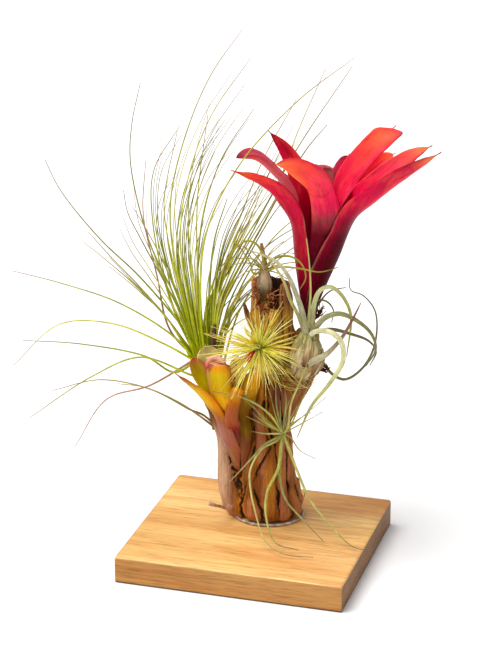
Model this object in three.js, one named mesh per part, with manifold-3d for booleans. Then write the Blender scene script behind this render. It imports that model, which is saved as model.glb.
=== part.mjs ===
// A display of bromeliads on one weathered trunk, glued to a square wooden board.
// Millimetres, +Z up, origin at the centre of the board's underside.
import * as THREE from 'three';
import Module from 'manifold-3d';

const wasm = await Module();
wasm.setup();

// ---- driving dimensions -------------------------------------------------------------------------
const GAP = 0.3; // clearance between neighbouring pieces
const FINEST = 0.05; // slivers smaller than this, left by joins and cuts, are smoothed away

const BOARD = { width: 150, depth: 135, thickness: 18, edge: 0.8 };
const PLANT_TURN = THREE.MathUtils.degToRad(16.4); // the plants' own front against the board's edges

const GLUE = { base: BOARD.thickness + GAP,
  height: 1.5, shoulder: 0.6, overhang: 1.2, ripple: 0.03, ripples: 7 };

// Trunk: height, centre and half widths of the bundle of stems.
const TRUNK_SECTIONS = [
  { z: 20.1, x: 8.5, y: 21, rx: 20.5, ry: 18 },
  { z: 22, x: 8.5, y: 21, rx: 22.5, ry: 19.8 },
  { z: 27, x: 8.5, y: 21, rx: 23.2, ry: 20.4 },
  { z: 37, x: 7.5, y: 21, rx: 21.5, ry: 19 },
  { z: 57, x: 7, y: 21, rx: 18, ry: 16.5 },
  { z: 79, x: 8.5, y: 21, rx: 14.5, ry: 14 },
  { z: 100, x: 9, y: 21, rx: 13.5, ry: 13.5 },
  { z: 124, x: 9.5, y: 21, rx: 13.8, ry: 13 },
  { z: 145, x: 10.5, y: 21, rx: 14.5, ry: 13 },
  { z: 165, x: 9.5, y: 21, rx: 13.5, ry: 12.5 },
  { z: 181, x: 9, y: 21, rx: 13, ry: 12 },
];
const TRUNK = { rows: 15, sides: 36, rowBias: 1.25, lobes: 10, firstCrevice: -76, wander: 0.16, twist: 0.12,
  ridge: 0.6, baseGroove: 0.17, topGroove: 0.08 };
const TRUNK_RIM = { rise: 2.6, reach: 12, waves: 3, phase: 0.9 }; // the broken, uneven top
const LEFT_STUB = {
  path: [[-15, 22, 20.1], [-17, 22, 45], [-19, 22, 70], [-25, 22, 88], [-31, 22, 100]],
  radii: [9, 7.6, 6.4, 5.4, 4.2], sides: 12, steps: 7,
};
const RIGHT_STUB = {
  path: [[12, 21, 74], [19, 21, 98], [28, 20.5, 119], [31.5, 21, 135], [32.5, 21.5, 148]],
  radii: [7, 9, 10.5, 9.5, 7.5], sides: 12, steps: 7,
};
const FOOT_TWIG = {
  path: [[-14, 15, 25], [-21, 12, 27], [-25, 8, 30], [-31, 5, 33]],
  radii: [2, 1.8, 1.5, 1], sides: 6, steps: 4,
};
const TOP_HOLLOW = {
  path: [[4, 9, 168], [5, 13, 177], [5.5, 15, 192]], radii: [3.5, 6.2, 7.5], sides: 9, steps: 4,
};

// Strap leaves: thickness at the root and its share left at the tip, rows and columns of facets, half width
// at the tip, and the share of the blade over which the sheath's curve opens into the blade's.
const STRAP = {
  thickness: 0.75, thinned: 0.85, sheathRows: 3, bladeRows: 6, columns: 5, tipWidth: 0.35, opens: 0.35,
};

// Large red rosette: centre line and flare of its vase, how far apart its layers of leaves lie, and the seat
// cut for it in the wood.
const RED_ROSETTE = {
  axis: [[33, 22, 150], [34, 22, 168], [36, 22, 182], [39, 22, 203], [41, 22, 219], [42, 22, 233]],
  flare: [[150, 3.2], [160, 3.6], [169, 4.8], [175, 7], [182, 10], [189, 11.8], [202, 14.8], [216, 18],
    [233, 23]],
  roots: [158.5, 171, 178, 184, 189],
  pitch: [1.45, 2.6],
  mouth: 226,
  core: {
    path: [[33, 22, 149], [33.4, 22, 158], [35, 22, 175], [37.4, 22, 192], [39, 22, 206]],
    radii: [3, 2.2, 2.9, 3.3, 0.6], sides: 10, steps: 8,
  },
  seat: { from: 148.7, to: 172, room: 1 },
};
const VASE = { rows: 9, sides: 14 }; // facets of the seat cut for a vase
// angle: where the leaf stands round the axis, degrees, 0 to the right and -90 to the front.
// sheath: half angle that it wraps at root, middle and mouth. half: half width of the blade.
// fold: radius of its channel. full: share of the blade before it tapers. tip: roundness of the tip.
// roll: turn of the blade about its own spine, degrees. mouth: height where it leaves the vase, if its own.
const RED_LEAVES = [
  { name: 'left_low', angle: 205, layer: 0, sheath: [57, 50, 33], half: 8, fold: 9, full: 0.3, tip: 0.8,
    roll: 38, mouth: 220, path: [[15, 7, 242], [6, 4, 251], [-4, 2, 257], [-16, 0, 262]] },
  { name: 'right_low', angle: 325, layer: 0, sheath: [60, 74, 40], half: 8.5, fold: 9, full: 0.25, tip: 0.8,
    roll: -36, mouth: 220, path: [[62, 8, 231], [73, 5, 243], [87, 3, 255], [101, 2, 265], [114, 2, 273]] },
  { name: 'back_low', angle: 93, layer: 0, sheath: [57, 50, 40], half: 8, fold: 14, full: 0.45, tip: 0.7,
    roll: 0, mouth: 220, path: [[44, 60, 240], [45, 76, 242], [46, 91, 238]] },
  { name: 'left_gutter', angle: 160, layer: 1, sheath: [50, 50, 38], half: 8.5, fold: 6, full: 0.7, tip: 0.45,
    roll: 30, path: [[19, 26, 243], [9, 25, 256], [-2, 23, 266], [-12, 21, 265]] },
  { name: 'front_curl', angle: 280, layer: 1, sheath: [45, 45, 33], half: 8.5, fold: 16, full: 0.5, tip: 0.7,
    roll: 0, path: [[42, 1, 242], [38, -3, 254], [29, -8, 262], [19, -13, 267], [10, -16, 265]] },
  { name: 'right_middle', angle: 356, layer: 1, sheath: [45, 45, 35], half: 8, fold: 11, full: 0.4, tip: 0.7,
    roll: 40, path: [[62, 17, 235], [73, 15, 247], [86, 13, 259], [98, 11, 269], [109, 10, 275]] },
  { name: 'right_high', angle: 12, layer: 2, sheath: [36, 36, 30], half: 7, fold: 11, full: 0.6, tip: 0.5,
    roll: 40, path: [[63, 29, 239], [72, 32, 251], [81, 34, 259], [88, 35, 263]] },
  { name: 'back_left', angle: 134, layer: 2, sheath: [28, 28, 26], half: 6.5, fold: 10, full: 0.5, tip: 0.7,
    roll: 0, path: [[25, 53, 238], [19, 65, 238], [15, 75, 231]] },
  { name: 'back_right', angle: 76, layer: 2, sheath: [26, 26, 26], half: 6.5, fold: 10, full: 0.5, tip: 0.7,
    roll: 0, path: [[58, 53, 239], [66, 68, 242], [73, 83, 238]] },
  { name: 'left_high', angle: 143, layer: 3, sheath: [35, 35, 30], half: 7.5, fold: 13, full: 0.15, tip: 0.8,
    roll: -40, path: [[28, 31, 244], [23, 33, 257], [17, 33, 267], [7, 31, 279]] },
  { name: 'heart_right', angle: 58, layer: 3, sheath: [30, 30, 28], half: 6, fold: 9, full: 0.7, tip: 0.5,
    roll: 0, path: [[51, 37, 241], [55, 39, 252], [59, 40, 261]] },
  { name: 'right_tall', angle: 20, layer: 4, sheath: [36, 36, 36], half: 10, fold: 19, full: 0.9, tip: 0.4,
    roll: 38,
    path: [[54, 26, 236], [60, 28, 249], [69, 28, 262], [78, 28, 272], [85, 31, 276], [92, 36, 273]] },
  { name: 'heart_back', angle: 95, layer: 4, sheath: [30, 30, 28], half: 6, fold: 9, full: 0.85, tip: 0.3,
    roll: 0, path: [[44, 38, 237], [44, 39, 246], [43, 39, 253]] },
];

// Small yellow and orange rosette in the left fork.
const SMALL_ROSETTE = {
  axis: [[-11, 13, 50], [-11, 11, 63], [-12.5, 9, 77], [-15.5, 8, 92], [-19, 7, 106]],
  flare: [[50, 2], [58, 3.2], [66, 5.8], [74, 8.6], [82, 10], [90, 10.7], [97, 11], [106, 12]],
  roots: [55.5, 64, 70],
  pitch: [1.45, 2.1],
  mouth: 94,
  core: {
    path: [[-11, 13, 49], [-11, 12.2, 55], [-12, 10, 70], [-14.5, 8.6, 84]], radii: [1.6, 1.8, 2.6, 0.6],
    sides: 10, steps: 8,
  },
  seat: { from: 48.7, to: 104, room: 0.8 },
};
const SMALL_LEAVES = [
  { name: 'left_low', angle: 215, layer: 0, sheath: [66, 66, 44], half: 6.5, fold: 10, full: 0.25, tip: 0.9,
    roll: 15, path: [[-34, -2, 111], [-43, -4, 121], [-52, -5, 129]] },
  { name: 'front_short', angle: 286, layer: 1, sheath: [34, 34, 36], half: 5.2, fold: 6, full: 0.85,
    tip: 0.35, roll: 0, mouth: 85, path: [[-15.5, -5, 96], [-14, -5, 108], [-12.5, -6, 115], [-9, -7, 120]] },
  { name: 'right_high', angle: 341, layer: 0, sheath: [58, 58, 40], half: 6, fold: 9, full: 0.5, tip: 0.7,
    roll: -45, path: [[-5, 5, 107], [-1, 4, 118], [2, 3, 130]] },
  { name: 'left_high', angle: 126, layer: 0, sheath: [22, 22, 26], half: 6.5, fold: 9, full: 0.7, tip: 0.4,
    roll: 0, path: [[-29, 11, 109], [-37, 12, 122], [-42, 12, 134]] },
  { name: 'front_tall', angle: 250, layer: 2, sheath: [44, 42, 46], half: 8.6, fold: 11, full: 0.92,
    tip: 0.25, roll: 0, path: [[-21, -3, 105], [-24, -4, 117], [-25, -4, 132]] },
  { name: 'back_left', angle: 112, layer: 1, sheath: [46, 42, 40], half: 7.2, fold: 12, full: 0.8, tip: 0.4,
    roll: 0, path: [[-28, 17, 110], [-31, 18, 125], [-34, 18, 137]] },
  { name: 'heart_right', angle: 350, layer: 1, sheath: [26, 24, 24], half: 3.6, fold: 6, full: 0.4, tip: 0.7,
    roll: 0, path: [[-13, 5, 109], [-14, 5, 121], [-13, 5, 131]] },
  { name: 'back_right', angle: 66, layer: 2, sheath: [36, 34, 34], half: 5, fold: 8, full: 0.6, tip: 0.5,
    roll: 0, path: [[-15, 18, 108], [-14, 19, 120], [-14, 19, 130]] },
];

// Rush-like air plant: creeping stem behind the left stub, where on it the leaves root (shares of its
// length), how far aside and behind its centre line a root stands, and the routes of its outer leaves.
const RUSH = { root: 0.95, taper: [1, 0.9, 0.7], tip: 0.32, sides: 3, steps: 6, seed: 11 };
const RUSH_STEM = {
  path: [[-27, 26, 77], [-29, 29, 98], [-30, 31, 114], [-31, 31, 128]],
  radii: [2, 4, 7, 5], sides: 9, steps: 6,
  tuft: [0.7, 0.95], low: 0.12, aside: { share: 0.375, most: 6.75 }, behind: { share: 0.333, most: 4 },
};
// Upright leaves that fill the tuft: they rise steeply, then lean over to the upper right and back.
const RUSH_FILL = { count: 18, tries: 108, foot: [-31, 30, 122], lean: [-0.416, 0.4725], back: [0.025, 0.55],
  length: [75, 175], bow: [0.101, 0.243], rise: 0.82, droop: 0.28 };
const RUSH_ROUTES = [
  [[-47, 34, 161], [-54, 40, 197], [-55, 42, 230], [-45, 42, 273], [-29, 40, 312], [-9, 38, 342]],
  [[-44, 32, 165], [-49, 36, 205], [-44, 38, 244], [-29, 38, 286], [-4, 36, 324]],
  [[-52, 30, 166], [-69, 34, 205], [-80, 38, 254], [-79, 38, 280], [-73, 38, 308]],
  [[-56, 36, 164], [-67, 48, 213], [-66, 54, 246], [-49, 56, 275]],
  [[-48, 40, 162], [-58, 56, 201], [-60, 62, 223], [-51, 66, 269]],
  [[-46, 28, 145], [-75, 24, 184], [-99, 18, 211], [-123, 13, 245], [-132, 10, 266]],
  [[-53, 25, 148], [-73, 16, 178], [-91, 9, 201], [-106, 4, 221]],
  [[-62, 30, 159], [-96, 34, 191], [-112, 36, 204]],
  [[-49, 23, 159], [-72, 12, 211], [-81, 7, 233], [-83, 4, 248]],
  [[-51, 23, 141], [-87, 12, 170], [-124, 3, 187], [-154, -2, 197]],
  [[-59, 20, 139], [-93, 8, 158], [-125, -2, 161], [-155, -8, 135]],
  [[-53, 24, 118], [-72, 22, 130], [-114, 26, 137], [-152, 30, 138]],
  [[-42, 24, 116], [-75, 10, 134], [-106, -2, 125], [-145, -12, 101]],
  [[-38, 40, 183], [-38, 48, 228], [-31, 52, 284]],
  [[-38, 30, 173], [-34, 30, 223], [-22, 30, 261], [-2, 30, 293]],
  [[-36, 24, 161], [-32, 18, 215], [-11, 11, 262], [26, 4, 306], [59, 0, 333]],
  [[-34, 40, 148], [-14, 58, 187], [12, 72, 227], [28, 80, 267], [45, 84, 306]],
  [[-34, 44, 147], [-4, 62, 199], [26, 76, 253], [62, 84, 307]],
  [[-30, 48, 138], [6, 68, 208], [32, 78, 252], [46, 80, 269]],
  [[-33, 36, 157], [-11, 44, 216], [4, 46, 255], [25, 46, 295]],
  [[-28, 34, 164], [-16, 38, 214], [4, 40, 242]],
  [[-27, 40, 148], [-11, 52, 186], [10, 62, 220], [24, 66, 246]],
];
const DRY_RUSH_ROUTES = [
  [[-56, 30, 145], [-64, 27, 184], [-72, 26, 225], [-70, 26, 260]],
  [[-70, 36, 104], [-99, 44, 91], [-122, 54, 52]],
];
const LOW_RUSH_ROUTES = [
  [[-34, 18, 90], [-43, 9, 98], [-68, 2, 115], [-100, -4, 124], [-130, -10, 119]],
  [[-50, 25, 96], [-73, 30, 105], [-91, 34, 106]],
];

// Needle-leaved air plant on the front of the trunk.
const NEEDLES = { centre: [2, 5, 142], count: 79, sunk: 3, reach: 24, length: [0.75, 1.05], tilt: [0.1, 1.62],
  sag: 3.2, root: 0.45, tip: 0.22, sides: 3, steps: 2, seed: 5 };
const NEEDLE_CORE = {
  path: [[2.5, 9.5, 142], [2, 5.5, 142], [1.9, 3, 142], [1.8, 1.3, 142]], radii: [3, 3.9, 3.4, 1.4],
  sides: 8, steps: 3,
};
const NEEDLE_FLOWER = {
  path: [[-1.2, -1.4, 142.6], [-3.6, -5, 141.6], [-5.4, -7, 137]],
  radii: [0.5, 0.9, 0.9, 0.4], sides: 6, steps: 5,
};

// Silver curly air plant on the right stub: its bulb, the heart that its leaves start from, and each leaf as
// [route, root radius].
const SILVER_BULB = {
  path: [[28, 10, 119], [29, 8.5, 128], [31.5, 8, 139], [32.5, 7, 152]],
  radii: [4, 8.4, 8.4, 3.6], sides: 9, steps: 8, heart: [32, 7, 149],
};
const SILVER_LEAVES = [
  [[[31, 4, 155], [29, 2, 167], [25, 1, 180], [20, 1, 192], [13, 2, 201], [3, 3, 206], [-6, 4, 209]], 1.9],
  [[[29, 3, 158], [26, 0, 167], [21, -2, 178], [17, -2, 190], [11, -2, 200], [3, -1, 210]], 1.3],
  [[[35, 7, 153], [36, 7, 169], [40, 8, 180], [46, 10, 182], [53, 12, 177], [60, 12, 163], [58, 11, 134]],
    1.6],
  [[[38, 5, 157], [44, 3, 164], [53, 1, 167], [64, 1, 162], [73, 2, 153], [76, 3, 142], [70, 4, 130]], 1.8],
  [[[36, 2, 154], [46, -2, 156], [53, -4, 151], [55, -5, 138], [47, -6, 123], [35, -7, 107], [26, -7, 85]],
    2],
  [[[36, 3, 137], [44, 1, 140], [54, 0, 151], [60, 0, 162], [66, 0, 175]], 1.7],
  [[[43, 16, 128], [49, 16, 120], [57, 14, 117], [68, 15, 124], [76, 16, 140], [76, 16, 163], [68, 16, 174],
    [60, 15, 178], [59, 15, 186]], 1],
  [[[37, 12, 171], [44, 14, 171], [49, 14, 165], [48, 12, 157]], 1],
  [[[39, 13, 168], [47, 16, 177], [57, 17, 179]], 0.9],
  [[[38, 8, 152], [48, 10, 153], [61, 12, 149], [72, 13, 144], [77, 13, 137], [73, 13, 127]], 1.3],
];

// Lower green air plant on the front of the trunk, its long leaves trailing over the board.
const LOWER_CORE = {
  path: [[17, 12, 83], [17, 7, 83], [17, 3, 83.5]],
  radii: [2.6, 2.4, 1.2], sides: 9, steps: 8, heart: [17, 4, 83.3],
};
const LOWER_LEAVES = [
  [[[15, -1, 89], [9, -3, 99], [0, -4, 107], [-11, -8, 114], [-28, -9, 118]], 1.1],
  [[[18, -1, 95], [19, -2, 109], [18, -3, 117]], 1],
  [[[20, 0, 89], [22, -2, 106], [26, -3, 118], [31, -7, 133], [34, -8, 146]], 1],
  [[[22, 2, 90], [28, 1, 105], [35, 0, 122]], 0.9],
  [[[16, 0, 89], [13, 0, 103], [12, 0, 122]], 0.9],
  [[[14, 0, 85], [5, 0, 85], [-4, 2, 86]], 0.9],
  [[[14, 1, 87], [5, 1, 94], [-4, 3, 106]], 0.9],
  [[[13, 0, 82], [5, -2, 78], [-4, -6, 69], [-20, -12, 53]], 1.1],
  [[[13, 0, 80], [3, -3, 75], [-4, -8, 63], [-4, -13, 53], [0, -24, 37], [6, -36, 25], [18, -45, 20.5],
    [36, -48, 20]], 1],
  [[[16, -1, 77], [14, -6, 63], [7, -14, 50], [6, -23, 38], [12, -37, 25], [27, -42, 22]], 1.5],
  [[[16, 0, 75], [15, -5, 58], [19, -13, 44], [30, -20, 33], [43, -31, 23]], 1.3],
  [[[20, 0, 77], [26, -5, 62], [35, -12, 43], [49, -23, 29], [62, -35, 21], [73, -38, 19.5]], 1.3],
  [[[22, 3, 81], [28, 3, 72], [38, 3, 66]], 0.7],
];

// Crown air plant on the broken top, and the knobbly strand before the red vase.
const CROWN_BULB = {
  path: [[4, 9.5, 164.5], [4.4, 11.5, 170], [5, 15, 180], [5, 15.5, 187], [5, 16, 195], [4, 16, 203],
    [3, 16, 209]],
  radii: [2, 2.8, 4.4, 4.6, 1.8, 1.1, 1], sides: 9, steps: 8, heart: [5, 15.5, 191],
};
const CROWN_LEAVES = [
  [[[4, 15, 201], [0, 14, 209], [-6, 12, 212], [-12, 10, 209], [-18, 8, 202], [-24, 7, 194]], 0.8],
  [[[3, 14, 192], [2, 12, 196], [-2, 11, 200], [-12, 10, 201]], 0.7],
  [[[-2, 12, 190], [-4, 12, 197], [-11, 13, 208]], 0.7],
  [[[6, 13, 194], [12, 11, 201], [21, 8, 203], [28, 6, 199], [31, 5, 190], [27, 6, 181]], 0.8],
  [[[7, 13, 192], [15, 8, 196], [27, 5, 196], [40, 4, 194], [51, 4, 197]], 0.7],
];
const KNOBBLY_STRAND = [[[33, 3, 163], [34, 1, 183], [33, 0, 202], [31, -1, 218]], 0.8];
// Thickness and facets of a curled leaf.
const CURL = { taper: [1, 0.9, 0.65], tip: 0.35, sides: 4, stepLength: 8.5 };

// Dark dry roots: where each tuft grows, how many, and how far they reach.
const ROOT_TUFTS = [
  { name: 'root_tuft_upper', from: [37.5, 19, 157], to: [41, 14, 166], count: 4, reach: 7, seed: 3 },
  { name: 'root_tuft_lower', from: [39.5, 16, 124], to: [45, 8, 127], count: 4, reach: 6, seed: 8 },
];
const ROOTLET = { root: 0.55, tip: 0.3, sides: 3, steps: 3, bend: 0.6 };

const COLOURS = {
  board: [0xdfa068, 0.55], glue: [0xd8d0c8, 0.45], bark: [0x9a6436, 0.85], redCup: [0x6a1418, 0.4],
  redLeaf: [0xd8263c, 0.35], orangeLeaf: [0xf0552e, 0.35], pinkLeaf: [0xc8506a, 0.4],
  yellowLeaf: [0xd0a010, 0.4], oliveLeaf: [0x94a028, 0.4], rush: [0x8c8c30, 0.5], needle: [0xd4cc58, 0.55],
  flower: [0xc81420, 0.4], silver: [0xb0b088, 0.7], lower: [0x9aa048, 0.5], crown: [0x84805c, 0.65],
  root: [0x4a3426, 0.9],
};

// ---- small helpers ------------------------------------------------------------------------------
const vector = (point) => new THREE.Vector3(...point);
const mix = THREE.MathUtils.lerp;
const radians = THREE.MathUtils.degToRad;

function seeded(seed) {
  let state = seed * 2654435761 % 4294967296;
  return () => {
    state = (state * 1664525 + 1013904223) % 4294967296;
    return state / 4294967296;
  };
}

// Reads a list of rows by its first number (or by key) and returns the straight mix at a value.
function readTable(rows, value, keyOf, mixRows) {
  let i = 0;
  while (i < rows.length - 2 && keyOf(rows[i + 1]) < value) i += 1;
  const span = keyOf(rows[i + 1]) - keyOf(rows[i]);
  const share = THREE.MathUtils.clamp((value - keyOf(rows[i])) / span, 0, 1);
  return mixRows(rows[i], rows[i + 1], share);
}

function spread(values, share) {
  const place = share * (values.length - 1);
  const i = Math.min(Math.floor(place), values.length - 2);
  return mix(values[i], values[i + 1], place - i);
}

function smooth(share) {
  const s = THREE.MathUtils.clamp(share, 0, 1);
  return s * s * (3 - 2 * s);
}

// ---- solids and meshes --------------------------------------------------------------------------
function closedSolid(points, triangles) {
  const vertProperties = new Float32Array(points.flatMap((p) => [p.x, p.y, p.z]));
  let volume = 0;
  for (const [a, b, c] of triangles) {
    volume += points[a].dot(points[b].clone().cross(points[c]));
  }
  const outward = volume > 0 ? triangles : triangles.map(([a, b, c]) => [a, c, b]);
  const triVerts = new Uint32Array(outward.flat());
  return new wasm.Manifold(new wasm.Mesh({ numProp: 3, vertProperties, triVerts }));
}

// Skin over a row of closed rings of equal count, with a fan over each end.
function loft(rings) {
  const count = rings[0].length;
  const triangles = [];
  for (let r = 0; r + 1 < rings.length; r += 1) {
    for (let i = 0; i < count; i += 1) {
      const a = r * count + i;
      const b = r * count + (i + 1) % count;
      triangles.push([a, b, b + count], [a, b + count, a + count]);
    }
  }
  const last = (rings.length - 1) * count;
  for (let i = 1; i + 1 < count; i += 1) {
    triangles.push([0, i + 1, i], [last, last + i, last + i + 1]);
  }
  return closedSolid(rings.flat(), triangles);
}

// Tapered stem along a route: radii are spread evenly from its root to its tip.
function stem(path, radii, sides, steps, grow = 0) {
  const curve = new THREE.CatmullRomCurve3(path.map(vector), false, 'centripetal');
  const { normals, binormals } = curve.computeFrenetFrames(steps, false);
  const rings = normals.map((normal, step) => {
    const beyond = { 0: -grow, [steps]: grow }[step] ?? 0;
    const centre = curve.getPointAt(step / steps).addScaledVector(curve.getTangentAt(step / steps), beyond);
    const radius = spread(radii, step / steps) + grow;
    return Array.from({ length: sides }, (_, side) => {
      const turn = 2 * Math.PI * side / sides;
      return centre.clone().addScaledVector(normal, radius * Math.cos(turn))
        .addScaledVector(binormals[step], radius * Math.sin(turn));
    });
  });
  return loft(rings);
}

const stemOf = ({ path, radii, sides, steps }, grow = 0) => stem(path, radii, sides, steps, grow);

// Blade between two grids of points, split into triangles alike on both faces.
function blade(topRows, underRows) {
  const rows = topRows.length;
  const columns = topRows[0].length;
  const under = rows * columns;
  const at = (row, column) => row * columns + column;
  const triangles = [];
  const wall = (a, b) => triangles.push([a, b, b + under], [a, b + under, a + under]);
  for (let r = 0; r + 1 < rows; r += 1) {
    for (let c = 0; c + 1 < columns; c += 1) {
      const [p, q, s, t] = [at(r, c), at(r, c + 1), at(r + 1, c + 1), at(r + 1, c)];
      triangles.push([p, s, q], [p, t, s]);
      triangles.push([p + under, q + under, s + under], [p + under, s + under, t + under]);
    }
    wall(at(r + 1, 0), at(r, 0));
    wall(at(r, columns - 1), at(r + 1, columns - 1));
  }
  for (let c = 0; c + 1 < columns; c += 1) {
    wall(at(0, c), at(0, c + 1));
    wall(at(rows - 1, c + 1), at(rows - 1, c));
  }
  return closedSolid([...topRows.flat(), ...underRows.flat()], triangles);
}

// The largest body of a solid, without loose scraps or slivers and with any sealed hollow filled.
function mainBody(solid) {
  return solid.simplify(FINEST).decompose().sort((a, b) => b.volume() - a.volume())[0];
}

const joined = (solids) => mainBody(solids.reduce((sum, solid) => sum.add(solid)));

// What is left of a solid once its neighbours' clearance is cut away.
function clearOf(solid, neighbours) {
  return mainBody(neighbours.reduce((rest, other) => rest.subtract(other), solid));
}

function meshOf(name, solid, [colour, roughness]) {
  const { vertProperties, triVerts, numProp } = solid.getMesh();
  const geometry = new THREE.BufferGeometry();
  const positions = new Float32Array(vertProperties.length / numProp * 3);
  for (let i = 0; i < positions.length / 3; i += 1) {
    positions.set(vertProperties.subarray(i * numProp, i * numProp + 3), i * 3);
  }
  geometry.setAttribute('position', new THREE.BufferAttribute(positions, 3));
  geometry.setIndex(new THREE.BufferAttribute(new Uint32Array(triVerts), 1));
  geometry.computeVertexNormals();
  const material = new THREE.MeshStandardMaterial({ color: colour, roughness, metalness: 0 });
  const mesh = new THREE.Mesh(geometry, material);
  mesh.name = name;
  return mesh;
}

// ---- board, glue and trunk ----------------------------------------------------------------------
function boardMesh() {
  const { width, depth, thickness, edge } = BOARD;
  const ring = (z, inset) => [[-1, -1], [1, -1], [1, 1], [-1, 1]].map(([sx, sy]) => new THREE.Vector3(
    sx * (width / 2 - inset), sy * (depth / 2 - inset), z));
  const slab = loft([ring(0, 0), ring(thickness - edge, 0), ring(thickness, edge)]);
  return meshOf('wood_base', slab, COLOURS.board);
}

function trunkSection(z) {
  return readTable(TRUNK_SECTIONS, z, (row) => row.z, (low, high, share) => ({
    x: mix(low.x, high.x, share), y: mix(low.y, high.y, share),
    rx: mix(low.rx, high.rx, share), ry: mix(low.ry, high.ry, share),
  }));
}

// Bark lobes: 1 on the crown of a lobe, less in the crevice between two.
function lobe(turn, height) {
  const wander = TRUNK.wander * Math.sin(turn * 2 + 0.8) + TRUNK.twist * height;
  const across = (turn - radians(TRUNK.firstCrevice) + wander) * TRUNK.lobes / 2;
  const ridge = Math.abs(Math.sin(across)) ** TRUNK.ridge;
  return 1 - mix(TRUNK.baseGroove, TRUNK.topGroove, height) * (1 - ridge);
}

function trunkRing(z, height) {
  const { x, y, rx, ry } = trunkSection(z);
  return Array.from({ length: TRUNK.sides }, (_, side) => {
    const turn = 2 * Math.PI * side / TRUNK.sides;
    const out = lobe(turn, height);
    const ragged = Math.sin(TRUNK_RIM.waves * turn + TRUNK_RIM.phase);
    const rim = height ** TRUNK_RIM.reach * TRUNK_RIM.rise * ragged;
    return new THREE.Vector3(x + rx * out * Math.cos(turn), y + ry * out * Math.sin(turn), z + rim);
  });
}

function trunkSolid(seats) {
  const bottom = TRUNK_SECTIONS[0].z;
  const top = TRUNK_SECTIONS.at(-1).z;
  const bundle = loft(Array.from({ length: TRUNK.rows }, (_, row) => {
    const height = (row / (TRUNK.rows - 1)) ** TRUNK.rowBias;
    return trunkRing(mix(bottom, top, height), height);
  }));
  const limbs = [LEFT_STUB, RIGHT_STUB, FOOT_TWIG].map((limb) => stemOf(limb));
  return clearOf(joined([bundle, ...limbs]), [stemOf(TOP_HOLLOW), ...seats]);
}

function glueMesh() {
  const section = trunkSection(TRUNK_SECTIONS[2].z);
  const ring = (z, inset) => Array.from({ length: TRUNK.sides }, (_, side) => {
    const turn = 2 * Math.PI * side / TRUNK.sides;
    const out = lobe(turn, 0) + GLUE.ripple * Math.sin(GLUE.ripples * turn) - inset;
    return new THREE.Vector3(section.x + (section.rx + GLUE.overhang) * out * Math.cos(turn),
      section.y + (section.ry + GLUE.overhang) * out * Math.sin(turn), z);
  });
  const { base, height, shoulder } = GLUE;
  const bead = loft([ring(base, 0), ring(base + height * shoulder, 0.01), ring(base + height, 0.08)]);
  return meshOf('glue_bead', bead, COLOURS.glue);
}

// ---- strap-leaved rosettes ----------------------------------------------------------------------
const axisPoint = (rosette, z) => readTable(rosette.axis, z, (row) => row[2],
  (low, high, share) => vector(low).lerp(vector(high), share));
const flareAt = (rosette, z) => readTable(rosette.flare, z, (row) => row[0],
  (low, high, share) => mix(low[1], high[1], share));

function sheathRadius(rosette, layer, z) {
  const [low, high] = [rosette.roots[0], rosette.axis.at(-1)[2]];
  return flareAt(rosette, z) - layer * mix(...rosette.pitch, (z - low) / (high - low));
}

// Spine of a leaf: up the wall of the vase, then out along its own route.
function leafSpine(rosette, leaf) {
  const turn = radians(leaf.angle);
  const out = new THREE.Vector3(Math.cos(turn), Math.sin(turn), 0);
  const [low, high] = [rosette.roots[leaf.layer], leaf.mouth ?? rosette.mouth];
  const wall = [0, 1, 2, 3].map((step) => {
    const z = mix(low, high, step / 3);
    return axisPoint(rosette, z).addScaledVector(out, sheathRadius(rosette, leaf.layer, z));
  });
  const curve = new THREE.CatmullRomCurve3([...wall, ...leaf.path.map(vector)], false, 'centripetal');
  const wallEnd = Math.round(curve.arcLengthDivisions * 3 / (3 + leaf.path.length));
  const mouthShare = curve.getLengths()[wallEnd] / curve.getLength();
  return { curve, out, low, high, mouthShare };
}

// Half width of the blade past the mouth, rounded or pointed at its tip.
function bladeHalf(leaf, share) {
  const taper = THREE.MathUtils.clamp((share - leaf.full) / (1 - leaf.full), 0, 1);
  return Math.max(leaf.half * (1 - taper ** 2) ** leaf.tip, STRAP.tipWidth);
}

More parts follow.
